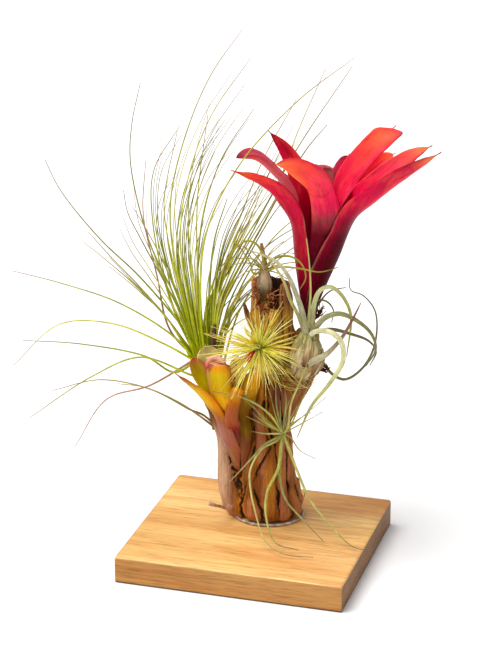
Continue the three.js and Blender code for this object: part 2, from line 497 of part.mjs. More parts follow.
function strapLeaf(rosette, leaf, grow = 0) {
  const { curve, out, low, high, mouthShare } = leafSpine(rosette, leaf);
  const rows = STRAP.sheathRows + STRAP.bladeRows;
  const side = new THREE.Vector3(-out.y, out.x, 0);
  const mouthHalf = radians(leaf.sheath[2]) * sheathRadius(rosette, leaf.layer, high);
  const [top, under] = [[], []];
  for (let row = 0; row <= rows; row += 1) {
    const onBlade = Math.max(0, row - STRAP.sheathRows) / STRAP.bladeRows;
    const onSheath = Math.min(1, row / STRAP.sheathRows);
    const share = mix(onSheath * mouthShare, 1, onBlade);
    const centre = curve.getPointAt(share);
    const ahead = curve.getTangentAt(share);
    side.addScaledVector(ahead, -side.dot(ahead)).normalize();
    const radius = sheathRadius(rosette, leaf.layer, mix(low, high, onSheath));
    const wrapped = radians(spread(leaf.sheath, onSheath)) * radius;
    const opened = smooth(onBlade / STRAP.opens);
    const half = (onBlade > 0 ? mix(mouthHalf, bladeHalf(leaf, onBlade), opened) : wrapped) + grow;
    const bend = mix(1 / radius, 1 / leaf.fold, opened);
    const inward = out.clone().negate().addScaledVector(ahead, out.dot(ahead) * opened);
    inward.addScaledVector(side, -inward.dot(side)).normalize();
    const across = side.clone().applyAxisAngle(ahead, radians(leaf.roll) * opened);
    inward.applyAxisAngle(ahead, radians(leaf.roll) * opened);
    const thick = STRAP.thickness * mix(1, STRAP.thinned, onBlade) / 2 + grow;
    const line = Array.from({ length: STRAP.columns + 1 }, (_, column) => {
      const swing = (2 * column / STRAP.columns - 1) * half * bend;
      const middle = centre.clone().addScaledVector(across, Math.sin(swing) / bend)
        .addScaledVector(inward, (1 - Math.cos(swing)) / bend);
      const face = inward.clone().multiplyScalar(Math.cos(swing)).addScaledVector(across, -Math.sin(swing));
      return [middle.clone().addScaledVector(face, thick), middle.addScaledVector(face, -thick)];
    });
    top.push(line.map(([upper]) => upper));
    under.push(line.map(([, lower]) => lower));
  }
  return blade(top, under);
}

// Outer surface of the vase with its clearance, as the seat that it stands in.
function vaseSeat(rosette) {
  const { from, to, room } = rosette.seat;
  const rings = Array.from({ length: VASE.rows }, (_, row) => {
    const z = mix(from, to, row / (VASE.rows - 1));
    const centre = axisPoint(rosette, z);
    return Array.from({ length: VASE.sides }, (__, step) => {
      const turn = 2 * Math.PI * step / VASE.sides;
      const radius = flareAt(rosette, z) + room;
      return new THREE.Vector3(centre.x + radius * Math.cos(turn), centre.y + radius * Math.sin(turn), z);
    });
  });
  return loft(rings);
}

function rosetteMeshes(prefix, rosette, leaves, colourOf) {
  const meshes = [meshOf(`${prefix}_core`, stemOf(rosette.core), colourOf('core'))];
  const kept = [stemOf(rosette.core, GAP)];
  for (const leaf of leaves) {
    const solid = clearOf(strapLeaf(rosette, leaf), kept);
    meshes.push(meshOf(`${prefix}_leaf_${leaf.name}`, solid, colourOf(leaf.name)));
    kept.push(strapLeaf(rosette, leaf, GAP));
  }
  return { meshes, kept };
}

// ---- air plants ---------------------------------------------------------------------------------
function rushLeaf(route, share) {
  const radii = [...RUSH.taper.map((part) => part * RUSH.root), RUSH.tip];
  return stem([rushRoot(share, route), ...route], radii, RUSH.sides, RUSH.steps);
}

// Point inside the creeping stem, at a share of its length and on the side that the leaf heads for.
function rushRoot(share, [[toX, toY]]) {
  const { path, aside, behind } = RUSH_STEM;
  const { x, y, z } = new THREE.CatmullRomCurve3(path.map(vector)).getPoint(share);
  const limited = (offset, limit) => THREE.MathUtils.clamp(offset * limit.share, -limit.most, limit.most);
  return [x + limited(toX - x, aside), y + limited(toY - y, behind), z];
}

function rushFillRoute(random) {
  const { foot, rise, droop } = RUSH_FILL;
  const [lean, back, length, bow] = [RUSH_FILL.lean, RUSH_FILL.back, RUSH_FILL.length, RUSH_FILL.bow].map(
    (range) => mix(...range, random()));
  return [0.3, 0.62, 1].map((share) => [
    foot[0] + length * share * (lean + bow * share),
    foot[1] + length * share * back,
    foot[2] + length * share * rise * (1 - droop * share * share),
  ]);
}

function rushSolids(obstacles) {
  const random = seeded(RUSH.seed);
  const crosses = (solid) => obstacles.some((other) => solid.intersect(other).volume() > 0);
  const high = [...RUSH_ROUTES, ...DRY_RUSH_ROUTES].map((route, i) => rushLeaf(
    route, mix(...RUSH_STEM.tuft, (i % 6) / 5)));
  const low = LOW_RUSH_ROUTES.map((route) => rushLeaf(route, RUSH_STEM.low));
  const leaves = [...high, ...low];
  for (let tries = 0, found = 0; found < RUSH_FILL.count && tries < RUSH_FILL.tries; tries += 1) {
    const route = rushFillRoute(random);
    const leaf = rushLeaf(route, mix(...RUSH_STEM.tuft, random()));
    if (!crosses(leaf)) {
      leaves.push(leaf);
      found += 1;
    }
  }
  return leaves;
}

function needleRoute(random, index) {
  const { centre, count, reach, sunk } = NEEDLES;
  const turn = index * Math.PI * (3 - Math.sqrt(5)); // the golden angle spreads the needles evenly
  const tilt = mix(...NEEDLES.tilt, Math.sqrt((index + 0.5) / count));
  const length = reach * mix(...NEEDLES.length, random());
  const sag = NEEDLES.sag * random();
  const aside = Math.sin(tilt) * length;
  return [sunk / reach, 0.5, 1].map((share) => [
    centre[0] + Math.cos(turn) * aside * share,
    centre[1] - Math.cos(tilt) * length * share,
    centre[2] + Math.sin(turn) * aside * share - sag * share * share,
  ]);
}

function needleSolid(obstacles) {
  const random = seeded(NEEDLES.seed);
  const { root, tip, sides, steps, count } = NEEDLES;
  const solids = [stemOf(NEEDLE_CORE)];
  for (let i = 0; i < count; i += 1) {
    const needle = stem(needleRoute(random, i), [root, (root + tip) / 2, tip], sides, steps);
    if (!obstacles.some((other) => needle.intersect(other).volume() > 0)) solids.push(needle);
  }
  return joined(solids);
}

function curl([route, root], from) {
  const path = [from, ...route];
  const radii = [...CURL.taper.map((part) => part * root), CURL.tip];
  const length = new THREE.CatmullRomCurve3(path.map(vector)).getLength();
  return stem(path, radii, CURL.sides, Math.ceil(length / CURL.stepLength));
}

// Curls that all start at the heart of one bulb.
function curlyPlant(bulb, curls) {
  return joined([stemOf(bulb), ...curls.map((one) => curl(one, bulb.heart))]);
}

function rootTuft({ from, to, count, reach, seed }) {
  const random = seeded(seed);
  const start = vector(from);
  const heading = vector(to).sub(start);
  return joined(Array.from({ length: count }, () => {
    const stray = () => new THREE.Vector3(random(), random(), random()).subScalar(0.5).multiplyScalar(reach);
    const middle = start.clone().addScaledVector(heading, ROOTLET.bend).addScaledVector(stray(), 0.5);
    const end = start.clone().add(heading).add(stray());
    const path = [from, middle.toArray(), end.toArray()];
    return stem(path, [ROOTLET.root, ROOTLET.tip], ROOTLET.sides, ROOTLET.steps);
  }));
}

// ---- the whole display --------------------------------------------------------------------------
const RED_COLOURS = { core: COLOURS.redCup, front_curl: COLOURS.orangeLeaf, right_tall: COLOURS.orangeLeaf,
  left_gutter: COLOURS.pinkLeaf, heart_back: COLOURS.pinkLeaf };
const SMALL_COLOURS = { core: COLOURS.oliveLeaf, left_high: COLOURS.oliveLeaf, back_left: COLOURS.oliveLeaf,
  back_right: COLOURS.oliveLeaf, front_short: COLOURS.orangeLeaf };

function buildPlants() {
  const red = rosetteMeshes('red_bromeliad', RED_ROSETTE, RED_LEAVES,
    (name) => RED_COLOURS[name] ?? COLOURS.redLeaf);
  const small = rosetteMeshes('small_bromeliad', SMALL_ROSETTE, SMALL_LEAVES,
    (name) => SMALL_COLOURS[name] ?? COLOURS.yellowLeaf);
  const silver = curlyPlant(SILVER_BULB, [...SILVER_LEAVES, KNOBBLY_STRAND]);
  const lower = curlyPlant(LOWER_CORE, LOWER_LEAVES);
  const crown = curlyPlant(CROWN_BULB, CROWN_LEAVES);
  const rooted = [SILVER_BULB, LOWER_CORE, CROWN_BULB, NEEDLE_CORE, RUSH_STEM];
  const roots = rooted.map((plant) => stemOf(plant, GAP));
  const trunk = trunkSolid([vaseSeat(RED_ROSETTE), vaseSeat(SMALL_ROSETTE), ...roots]);
  const rush = joined([stemOf(RUSH_STEM), ...rushSolids([trunk, ...red.kept, ...small.kept])]);
  const flowerRoom = stemOf(NEEDLE_FLOWER, GAP);
  const needles = needleSolid([trunk, rush, silver, lower, flowerRoom, ...small.kept]);
  const meshes = [
    glueMesh(),
    meshOf('trunk', trunk, COLOURS.bark),
    ...red.meshes,
    ...small.meshes,
    meshOf('rush_air_plant', rush, COLOURS.rush),
    meshOf('needle_air_plant', needles, COLOURS.needle),
    meshOf('needle_air_plant_flower', stemOf(NEEDLE_FLOWER), COLOURS.flower),
    meshOf('silver_air_plant', silver, COLOURS.silver),
    meshOf('lower_air_plant', lower, COLOURS.lower),
    meshOf('crown_air_plant', crown, COLOURS.crown),
    ...ROOT_TUFTS.map((tuft) => meshOf(tuft.name, rootTuft(tuft), COLOURS.root)),
  ];
  const plants = new THREE.Group();
  plants.rotation.z = PLANT_TURN;
  plants.add(...meshes);
  return plants;
}

const display = new THREE.Group();
display.add(boardMesh(), buildPlants());

export default display;
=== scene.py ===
"""Bromeliads and air plants fixed to an upright stump on a pine board.

Sizes are in millimetres, in the plants' own frame, until place() turns them into the part's frame.
"""

import math

import bmesh
import bpy
import numpy as np
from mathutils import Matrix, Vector, noise
from mathutils.bvhtree import BVHTree


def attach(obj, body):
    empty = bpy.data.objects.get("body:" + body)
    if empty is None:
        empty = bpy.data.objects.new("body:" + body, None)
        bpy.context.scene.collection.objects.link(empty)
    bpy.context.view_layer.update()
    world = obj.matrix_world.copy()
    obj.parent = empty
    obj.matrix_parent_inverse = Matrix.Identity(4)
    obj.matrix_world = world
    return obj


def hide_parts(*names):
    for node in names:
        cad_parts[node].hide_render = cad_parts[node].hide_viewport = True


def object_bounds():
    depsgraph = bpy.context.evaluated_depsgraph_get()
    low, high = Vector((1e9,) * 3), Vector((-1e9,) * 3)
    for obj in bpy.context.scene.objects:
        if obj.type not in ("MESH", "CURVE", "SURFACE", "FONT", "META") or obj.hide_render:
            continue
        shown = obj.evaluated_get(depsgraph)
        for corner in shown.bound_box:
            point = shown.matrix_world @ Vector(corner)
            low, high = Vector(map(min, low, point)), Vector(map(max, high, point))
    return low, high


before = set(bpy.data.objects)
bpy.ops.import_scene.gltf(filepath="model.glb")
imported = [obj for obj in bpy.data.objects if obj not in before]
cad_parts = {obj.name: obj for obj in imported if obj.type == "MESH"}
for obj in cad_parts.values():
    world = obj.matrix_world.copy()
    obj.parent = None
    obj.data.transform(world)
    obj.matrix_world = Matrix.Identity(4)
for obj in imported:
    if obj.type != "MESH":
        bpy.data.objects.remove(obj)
bounds_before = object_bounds()

MM = 0.001
PLANT_TURN = math.radians(16.4)  # the plants stand turned from the board
PLANT_COS, PLANT_SIN = math.cos(PLANT_TURN), math.sin(PLANT_TURN)
ROUTE_STEPS = 24  # points to each span of a route

# ---- measures -----------------------------------------------------------------------------------
TRUNK_SECTIONS = np.array([  # height, x and y of the middle, half width, half depth
    [20.1, 8.5, 21, 20.5, 18],
    [22, 8.5, 21, 22.5, 19.8],
    [27, 8.5, 21, 23.2, 20.4],
    [37, 7.5, 21, 21.5, 19],
    [57, 7, 21, 18, 16.5],
    [79, 8.5, 21, 14.5, 14],
    [100, 9, 21, 13.5, 13.5],
    [124, 9.5, 21, 13.8, 13],
    [145, 10.5, 21, 14.5, 13],
    [165, 9.5, 21, 13.5, 12.5],
    [181, 9, 21, 13, 12],
])
LEFT_STUB = dict(radii=[8, 8.4, 7.6, 6.4, 5.4, 4.2],
                 path=[[-9, 21, 18.7], [-14.6, 21.5, 31], [-17, 22, 46], [-19, 22, 70], [-25, 22, 88],
                       [-31, 22, 100]])
RIGHT_STUB = dict(radii=[7, 9, 10.5, 9.5, 7.5],
                  path=[[12, 21, 74], [19, 21, 98], [28, 20.5, 119], [31.5, 21, 135], [32.5, 21.5, 148]])
FOOT_TWIG = dict(radii=[2, 1.8, 1.5, 1], path=[[-14, 15, 25], [-21, 12, 27], [-25, 8, 30], [-31, 5, 33]])
SIDE_STICK = dict(radii=[2, 1.6, 1.4, 1],
                  path=[[0, 22, 147], [-4.4, 24, 153], [-6.6, 25, 160], [-8, 25, 166]])
LIMBS = (LEFT_STUB, RIGHT_STUB, FOOT_TWIG, SIDE_STICK)

# A rosette has the axis of its cup, the cup's radius by height (flare), the heights that its layers of leaves
# grow from (roots), how far each layer lies inside the one before, at foot and top (pitch), and its mouth.
# A leaf has the way it faces in degrees, its layer, half the turn it wraps at its root, middle and mouth
# (sheath), its blade's half width, the radius it folds to, the share of it that stays wide (full), how
# pointed it is (tip), how far it rolls over in degrees, where its spur starts, and the path of its blade.
RED_ROSETTE = dict(
    axis=[[33, 22, 150], [34, 22, 168], [36, 22, 182], [39, 22, 203], [41, 22, 219], [42, 22, 233]],
    flare=[[150, 3.2], [160, 3.6], [169, 4.8], [175, 7], [182, 10], [189, 11.8], [202, 14.8], [216, 18],
        [233, 23]],
    roots=[158.5, 171, 178, 184, 189],
    pitch=[1.45, 2.6],
    mouth=226,
    core=dict(path=[[33, 22, 149], [33.4, 22, 158], [35, 22, 175], [37.4, 22, 192], [39, 22, 206]],
        radii=[3, 2.2, 2.9, 3.3, 0.6]))
RED_LEAVES = [
    dict(name="left_low", angle=205, layer=0, sheath=[57, 50, 33], half=8, fold=9, full=0.3, tip=0.8,
        roll=38, mouth=220, path=[[15, 7, 242], [6, 4, 251], [-4, 2, 257], [-16, 0, 262]]),
    dict(name="right_low", angle=325, layer=0, sheath=[60, 74, 40], half=8.5, fold=9, full=0.25, tip=0.8,
        roll=-36, mouth=220, path=[[62, 8, 231], [73, 5, 243], [87, 3, 255], [101, 2, 265], [114, 2, 273]]),
    dict(name="back_low", angle=93, layer=0, sheath=[57, 50, 40], half=8, fold=14, full=0.45, tip=0.7,
        mouth=220, path=[[44, 60, 240], [45, 76, 242], [46, 91, 238]]),
    dict(name="left_gutter", angle=160, layer=1, sheath=[50, 50, 38], half=8.8, fold=6, full=0.8, tip=0.5,
        roll=30, spur=1, path=[[19, 26, 241], [9, 25, 253], [-1, 23, 262], [-13, 21, 264]]),
    dict(name="front_curl", angle=280, layer=1, sheath=[45, 45, 33], half=8.5, fold=16, full=0.5, tip=0.7,
        path=[[42, 1, 242], [38, -3, 254], [29, -8, 263], [19, -13, 269.5], [9.5, -16, 270.5]]),
    dict(name="right_middle", angle=356, layer=1, sheath=[45, 45, 35], half=8, fold=11, full=0.4, tip=0.7,
        roll=40, path=[[62, 17, 235], [73, 15, 247], [86, 13, 259], [98, 11, 269], [109, 10, 275]]),
    dict(name="right_high", angle=12, layer=2, sheath=[36, 36, 30], half=7, fold=11, full=0.6, tip=0.5,
        roll=40, path=[[63, 29, 239], [72, 32, 251], [81, 34, 259], [88, 35, 263]]),
    dict(name="back_left", angle=134, layer=2, sheath=[28, 28, 26], half=6.5, fold=10, full=0.5, tip=0.7,
        path=[[25, 53, 238], [19, 65, 238], [15, 75, 231]]),
    dict(name="back_right", angle=76, layer=2, sheath=[26, 26, 26], half=6.5, fold=10, full=0.5, tip=0.7,
        path=[[58, 53, 239], [66, 68, 242], [73, 83, 238]]),
    dict(name="left_high", angle=143, layer=3, sheath=[35, 35, 30], half=7.5, fold=13, full=0.15, tip=0.8,
        roll=-40, path=[[28, 31, 244], [23, 33, 257], [17, 33, 267], [7, 31, 279]]),
    dict(name="heart_right", angle=58, layer=3, sheath=[30, 30, 28], half=6, fold=9, full=0.7, tip=0.5,
        path=[[51, 37, 241], [55, 39, 252], [59, 40, 261]]),
    dict(name="right_tall", angle=20, layer=4, sheath=[36, 36, 36], half=8.2, fold=30, full=0.94, tip=0.34,
        roll=38, roll_end=36, slant=-6,
        path=[[53, 26, 236], [58.5, 28, 250], [68, 28, 263], [78.5, 29, 274], [87.5, 31, 282]]),
    dict(name="heart_back", angle=95, layer=4, sheath=[30, 30, 28], half=6, fold=9, full=0.85, tip=0.3,
        path=[[44, 38, 237], [44, 39, 246], [43, 39, 253]]),
]

SMALL_ROSETTE = dict(
    axis=[[-11, 13, 50], [-11, 11, 63], [-12.5, 9, 77], [-15.5, 8, 92], [-19, 7, 106]],
    flare=[[50, 2], [58, 3.2], [66, 5.8], [74, 8.6], [82, 10], [90, 10.7], [97, 11], [106, 12]],
    roots=[55.5, 64, 70],
    pitch=[1.45, 2.1],
    mouth=94,
    core=dict(path=[[-11, 13, 49], [-11, 12.2, 55], [-12, 10, 70], [-14.5, 8.6, 84]],
        radii=[1.6, 1.8, 2.6, 0.6]))
SMALL_LEAVES = [
    dict(name="left_low", angle=215, layer=0, sheath=[66, 66, 44], half=6.5, fold=10, full=0.25, tip=0.9,
        roll=15, path=[[-34, -2, 111], [-43, -4, 121], [-52, -5, 129]]),
    dict(name="front_short", angle=286, layer=1, sheath=[34, 34, 36], half=5.2, fold=6, full=0.85, tip=0.35,
        mouth=85, path=[[-15.5, -5, 96], [-14, -5, 108], [-12.5, -6, 115], [-9, -7, 120]]),
    dict(name="right_high", angle=341, layer=0, sheath=[58, 58, 40], half=7.6, fold=11, full=0.5, tip=0.7,
        roll=-52, path=[[-6, 5, 107], [-3, 4, 118], [0.5, 3, 131]]),
    dict(name="left_high", angle=126, layer=0, sheath=[22, 22, 26], half=6.5, fold=9, full=0.7, tip=0.4,
        path=[[-29, 11, 109], [-37, 12, 122], [-42, 12, 134]]),
    dict(name="front_tall", angle=250, layer=2, sheath=[44, 42, 46], half=9.6, fold=12, full=0.92, tip=0.25,
        spur=1, path=[[-21, -3, 105], [-24.5, -4, 118], [-26, -4, 135]]),
    dict(name="back_left", angle=112, layer=1, sheath=[46, 42, 40], half=8.2, fold=14, full=0.85, tip=0.4,
        path=[[-28, 17, 110], [-31, 18, 125], [-33, 18, 140]]),
    dict(name="heart_right", angle=350, layer=1, sheath=[26, 24, 24], half=3.6, fold=6, full=0.4, tip=0.7,
        path=[[-13, 5, 109], [-14, 5, 121], [-13, 5, 131]]),
    dict(name="back_right", angle=66, layer=2, sheath=[36, 34, 34], half=6.6, fold=10, full=0.7, tip=0.5,
        path=[[-15, 18, 108], [-12.5, 19, 120], [-12, 19, 132]]),
]

# The rush-like plant: tuft and low are the shares of the stem where leaves grow, and a root moves towards
# where its leaf goes, aside and behind, by a share of the way and at most so far.
RUSH_STEM = dict(
    path=[[-27, 26, 77], [-29, 29, 98], [-30, 31, 114], [-31, 31, 128]],
    radii=[2, 4, 7, 5],
    tuft=[0.7, 0.95], low=0.12, aside=dict(share=0.375, most=6.75), behind=dict(share=0.333, most=4))
RUSH_ROUTES = [
    [[-47, 34, 161], [-54, 40, 197], [-55, 42, 230], [-45, 42, 273], [-29, 40, 312], [-9, 38, 342]],
    [[-44, 32, 165], [-49, 36, 205], [-44, 38, 244], [-29, 38, 286], [-4, 36, 324]],
    [[-52, 30, 166], [-69, 34, 205], [-80, 38, 254], [-79, 38, 280], [-73, 38, 308]],
    [[-56, 36, 164], [-67, 48, 213], [-66, 54, 246], [-49, 56, 275]],
    [[-48, 40, 162], [-58, 56, 201], [-60, 62, 223], [-51, 66, 269]],
    [[-46, 28, 145], [-75, 24, 184], [-99, 18, 211], [-123, 13, 245], [-132, 10, 266]],
    [[-53, 25, 148], [-73, 16, 178], [-91, 9, 201], [-106, 4, 221]],
    [[-62, 30, 159], [-96, 34, 191], [-112, 36, 204]],
    [[-49, 23, 159], [-72, 12, 211], [-81, 7, 233], [-83, 4, 248]],
    [[-51, 23, 141], [-87, 12, 170], [-124, 3, 187], [-154, -2, 197]],
    [[-59, 20, 139], [-93, 8, 158], [-125, -2, 161], [-155, -8, 135]],
    [[-53, 24, 118], [-72, 22, 130], [-114, 26, 137], [-152, 30, 138]],
    [[-42, 24, 116], [-75, 10, 134], [-106, -2, 125], [-145, -12, 101]],
    [[-38, 40, 183], [-38, 48, 228], [-31, 52, 284]],
    [[-38, 30, 173], [-34, 30, 223], [-22, 30, 261], [-2, 30, 293]],
    [[-36, 24, 161], [-32, 18, 215], [-11, 11, 262], [26, 4, 306], [59, 0, 333]],
    [[-34, 40, 148], [-14, 58, 187], [12, 72, 227], [28, 80, 267], [45, 84, 306]],
    [[-34, 44, 147], [-4, 62, 199], [26, 76, 253], [62, 84, 307]],
    [[-30, 48, 138], [6, 68, 208], [32, 78, 252], [46, 80, 269]],
    [[-33, 36, 157], [-11, 44, 216], [4, 46, 255], [25, 46, 295]],
    [[-28, 34, 164], [-16, 38, 214], [4, 40, 242]],
    [[-27, 40, 148], [-11, 52, 186], [10, 62, 220], [24, 66, 246]],
]
DRY_RUSH_ROUTES = [
    [[-56, 30, 145], [-64, 27, 184], [-72, 26, 225], [-70, 26, 260]],
    [[-70, 36, 104], [-99, 44, 91], [-122, 54, 52]],
]
LOW_RUSH_ROUTES = [
    [[-34, 18, 90], [-43, 9, 98], [-68, 2, 115], [-100, -4, 124], [-130, -10, 119]],
    [[-50, 25, 96], [-73, 30, 105], [-91, 34, 106]],
]
# Leaves strewn behind the others: where they lean, and how much room they keep from the solids.
RUSH_FILL = dict(count=18, tries=108, seed=11, room=1.3, foot=[-31, 30, 122], lean=[-0.416, 0.4725],
                 back=[0.025, 0.55], length=[75, 175], bow=[0.101, 0.243], rise=0.82, droop=0.28)

# The needle plant: needles leave the centre at tilts, in radians, from straight towards the front.
NEEDLES = dict(centre=[2, 5, 142], reach=24, tilt=[0.1, 1.62], count=330, seed=5)
NEEDLE_CORE = dict(path=[[2.5, 9.5, 142], [2, 5.5, 142], [1.9, 3, 142], [1.8, 1.3, 142]],
                   radii=[3, 3.9, 3.4, 1.4])
NEEDLE_FLOWER = dict(path=[[-1.2, -1.4, 142.6], [-3.6, -5, 141.6], [-5.4, -7, 137]],
                     radii=[0.7, 1.3, 1.3, 0.5])

# A curly plant's curls are routes with the radius at their root. Its bulb's scales stand out by a share of
# its radius, and laps says how long they are and how many meet round it.
SILVER_LEAVES = [
    [[[31, 4, 155], [29, 2, 167], [25, 1, 180], [20, 1, 192], [13, 2, 201], [3, 3, 206], [-6, 4, 209]], 1.9],
    [[[29, 3, 158], [26, 0, 167], [21, -2, 178], [17, -2, 190], [11, -2, 200], [3, -1, 210]], 1.3],
    [[[35, 7, 153], [36, 7, 169], [40, 8, 180], [46, 10, 182], [53, 12, 177], [60, 12, 163], [58, 11, 134]],
        1.6],
    [[[38, 5, 157], [44, 3, 164], [53, 1, 167], [64, 1, 162], [73, 2, 153], [76, 3, 142], [70, 4, 130]], 1.8],
    [[[36, 2, 154], [46, -2, 156], [53, -4, 151], [55, -5, 138], [47, -6, 123], [35, -7, 107], [26, -7, 85]],
        2],
    [[[36, -2.5, 136.5], [44, -1, 140], [54, 0, 151], [60, 0, 162], [66, 0, 175]], 1.7],
    [[[43, 16, 128], [49, 16, 120], [57, 14, 117], [68, 15, 124], [76, 16, 140], [76, 16, 163], [68, 16, 174],
        [60, 15, 178], [59, 15, 186]], 1],
    [[[37, 12, 171], [44, 14, 171], [49, 14, 165], [48, 12, 157]], 1],
    [[[39, 13, 168], [47, 16, 177], [57, 17, 179]], 0.9],
    [[[38, 8, 152], [48, 10, 153], [61, 12, 149], [72, 13, 144], [77, 13, 137], [73, 13, 127]], 1.3],
    [[[33, 3, 163], [34, 1, 183], [33, 0, 202], [31, -1, 218]], 0.8],  # the knobbly strand
]
LOWER_LEAVES = [
    [[[15, -1, 89], [9, -3, 99], [0, -4, 107], [-11, -8, 114], [-28, -9, 118]], 1.1],
    [[[18, -1, 95], [19, -2, 109], [18, -3, 117]], 1],
    [[[20, 0, 89], [22, -2, 106], [26, -3, 118], [31, -7, 133], [34, -8, 146]], 1],
    [[[22, 2, 90], [28, 1, 105], [35, 0, 122]], 0.9],
    [[[16, 0, 89], [13, 0, 103], [12, 0, 122]], 0.9],
    [[[14, 0, 85], [5, 0, 85], [-4, 2, 86]], 0.9],
    [[[14, 1, 87], [5, 1, 94], [-4, 3, 106]], 0.9],
    [[[13, 0, 82], [5, -2, 78], [-4, -6, 69], [-20, -12, 53]], 1.1],
    [[[13, 0, 80], [3, -3, 75], [-4, -8, 63], [-4, -13, 53], [0, -24, 37], [6, -36, 25], [18, -45, 20.5],
        [36, -48, 20]], 1],
    [[[16, -1, 77], [14, -6, 63], [7, -14, 50], [6, -23, 38], [12, -37, 25], [27, -42, 22]], 1.5],
    [[[16, 0, 75], [15, -5, 58], [19, -13, 44], [30, -20, 33], [43, -31, 23]], 1.3],
    [[[20, 0, 77], [26, -5, 62], [35, -12, 43], [49, -23, 29], [62, -35, 21], [73, -38, 19.5]], 1.3],
    [[[22, 3, 81], [28, 3, 72], [38, 3, 66]], 0.7],
]
CROWN_LEAVES = [
    [[[4, 15, 201], [0, 14, 209], [-6, 12, 212], [-12, 10, 209], [-18, 8, 202], [-24, 7, 194]], 0.8],
    [[[3, 14, 192], [2, 12, 196], [-2, 11, 200], [-12, 10, 201]], 0.7],
    [[[-2, 12, 190], [-4, 12, 197], [-11, 13, 208]], 0.7],
    [[[6, 13, 194], [12, 11, 201], [21, 8, 203], [28, 6, 199], [31, 5, 190], [27, 6, 181]], 0.8],
    [[[7, 13, 192], [15, 8, 196], [27, 5, 196], [40, 4, 194], [51, 4, 197]], 0.7],
]

SILVER_TINTS = [  # one for each curling leaf, in the order of SILVER_LEAVES
    [(0, "A89C6C"), (0.15, "A4A070"), (0.5, "B8B48C"), (0.8, "D0CC98"), (1, "B8A070")],
    [(0, "9A8C5C"), (0.2, "9A9458"), (0.5, "B0A850"), (0.8, "C8B058"), (1, "A08048")],
    [(0, "A8A068"), (0.15, "B4B074"), (0.4, "D0D090"), (0.6, "B8B858"), (1, "A0A040")],
    [(0, "A8A06C"), (0.2, "A4A070"), (0.4, "8C8A4C"), (0.7, "7C7838"), (1, "6E6438")],
    [(0, "B8B084"), (0.15, "E0DCAC"), (0.4, "DCD8A0"), (0.7, "B8B868"), (1, "A8A050")],
    [(0, "AEA47C"), (0.25, "BCB48C"), (0.42, "AE9C78"), (0.6, "966E54"), (0.82, "7A4038"), (1, "8A4848")],
    [(0, "6E6838"), (0.5, "767038"), (0.8, "6A6238"), (1, "7A6450")],
    [(0, "7C7840"), (0.5, "747034"), (1, "6A6430")],
    [(0, "5E5030"), (0.5, "5A5034"), (1, "6A5848")],
    [(0, "7C7440"), (0.3, "6A6030"), (0.7, "706434"), (1, "6A5838")],
    [(0, "B0A860"), (0.5, "C4BC60"), (1, "B8B058")],
]
LOWER_TINTS = [
    [(0, "B4AC50"), (0.3, "CCC65C"), (0.7, "C0BA60"), (0.92, "988A4C"), (1, "7A5030")],
    [(0, "A8A448"), (0.3, "A0A058"), (0.7, "B0AC60"), (0.92, "A48E54"), (1, "8A6038")],
    [(0, "C0B860"), (0.3, "DCD47C"), (0.7, "CCC46C"), (1, "806040")],
]
CROWN_TINTS = [
    [(0, "94884C"), (0.4, "A8A454"), (0.8, "9A944C"), (1, "7A5A40")],
    [(0, "848040"), (0.4, "98964C"), (0.8, "ACA454"), (1, "8A6A48")],
]

SILVER_PLANT = dict(
    name="silver_plant", node="silver_air_plant", slot="silver", heart=[32, 7, 149],
    path=[[28, 10, 117], [29.6, 8.4, 124], [31.4, 8, 131], [32, 7.4, 139], [32.5, 7, 152]],
    radii=[4.6, 9.4, 11.2, 9, 4.4], scales=0.2, laps=(34, 5),
    bulb_tints=[(0, "4A3020"), (0.2, "8A6A50"), (0.4, "A88C68"), (0.6, "B0A078"), (1, "A8A470")],
    curls=SILVER_LEAVES, tints=SILVER_TINTS, flare=1.35, thicker=0.96,
    starts={4: ([31, 8, 142], 0.8), 5: ([28.5, 0.5, 132.5],
                                        2.2)})  # where two of the leaves leave it, and how wide
LOWER_PLANT = dict(
    name="lower_plant", node="lower_air_plant", slot="lower", heart=[17, 4, 83.3],
    path=[[17, 12, 83], [17, 7, 83], [17, 3, 83.5]], radii=[2.6, 2.4, 1.2], scales=0.05, laps=(5.2, 2),
    bulb_tints=[(0, "7A6A38"), (1, "9A9A48")],
    curls=LOWER_LEAVES, tints=LOWER_TINTS, flare=1.15, thicker=0.68, starts={},
    fine=dict(count=12, turn=[-70, 62], length=[16, 44], bend=24, depth=[-5, 1], root=0.6, seed=5))
CROWN_PLANT = dict(
    name="crown_plant", node="crown_air_plant", slot="crown", heart=[5, 15.5, 191],
    path=[[4.4, 11.5, 170], [4.8, 13.6, 175], [5, 15, 180], [5, 15.5, 187], [5, 16, 195], [4, 16, 203],
          [3, 16, 209]],
    radii=[1.4, 3.6, 5.2, 5, 3.2, 1.9, 1.4, 1.2, 1], scales=0.16, laps=(40, 2),
    bulb_tints=[(0, "7A8030"), (0.12, "5A4428"), (0.3, "8A7A62"), (0.45, "9C8A74"), (0.6, "B8987C"),
                (1, "A88468")],
    curls=CROWN_LEAVES, tints=CROWN_TINTS, flare=1.15, thicker=1.0, starts={},
    fine=dict(count=8, turn=[-100, 95], length=[14, 30], bend=50, depth=[-8, 4], root=0.45, seed=9))
BULB_STEP = 0.7  # between the rows of a bulb
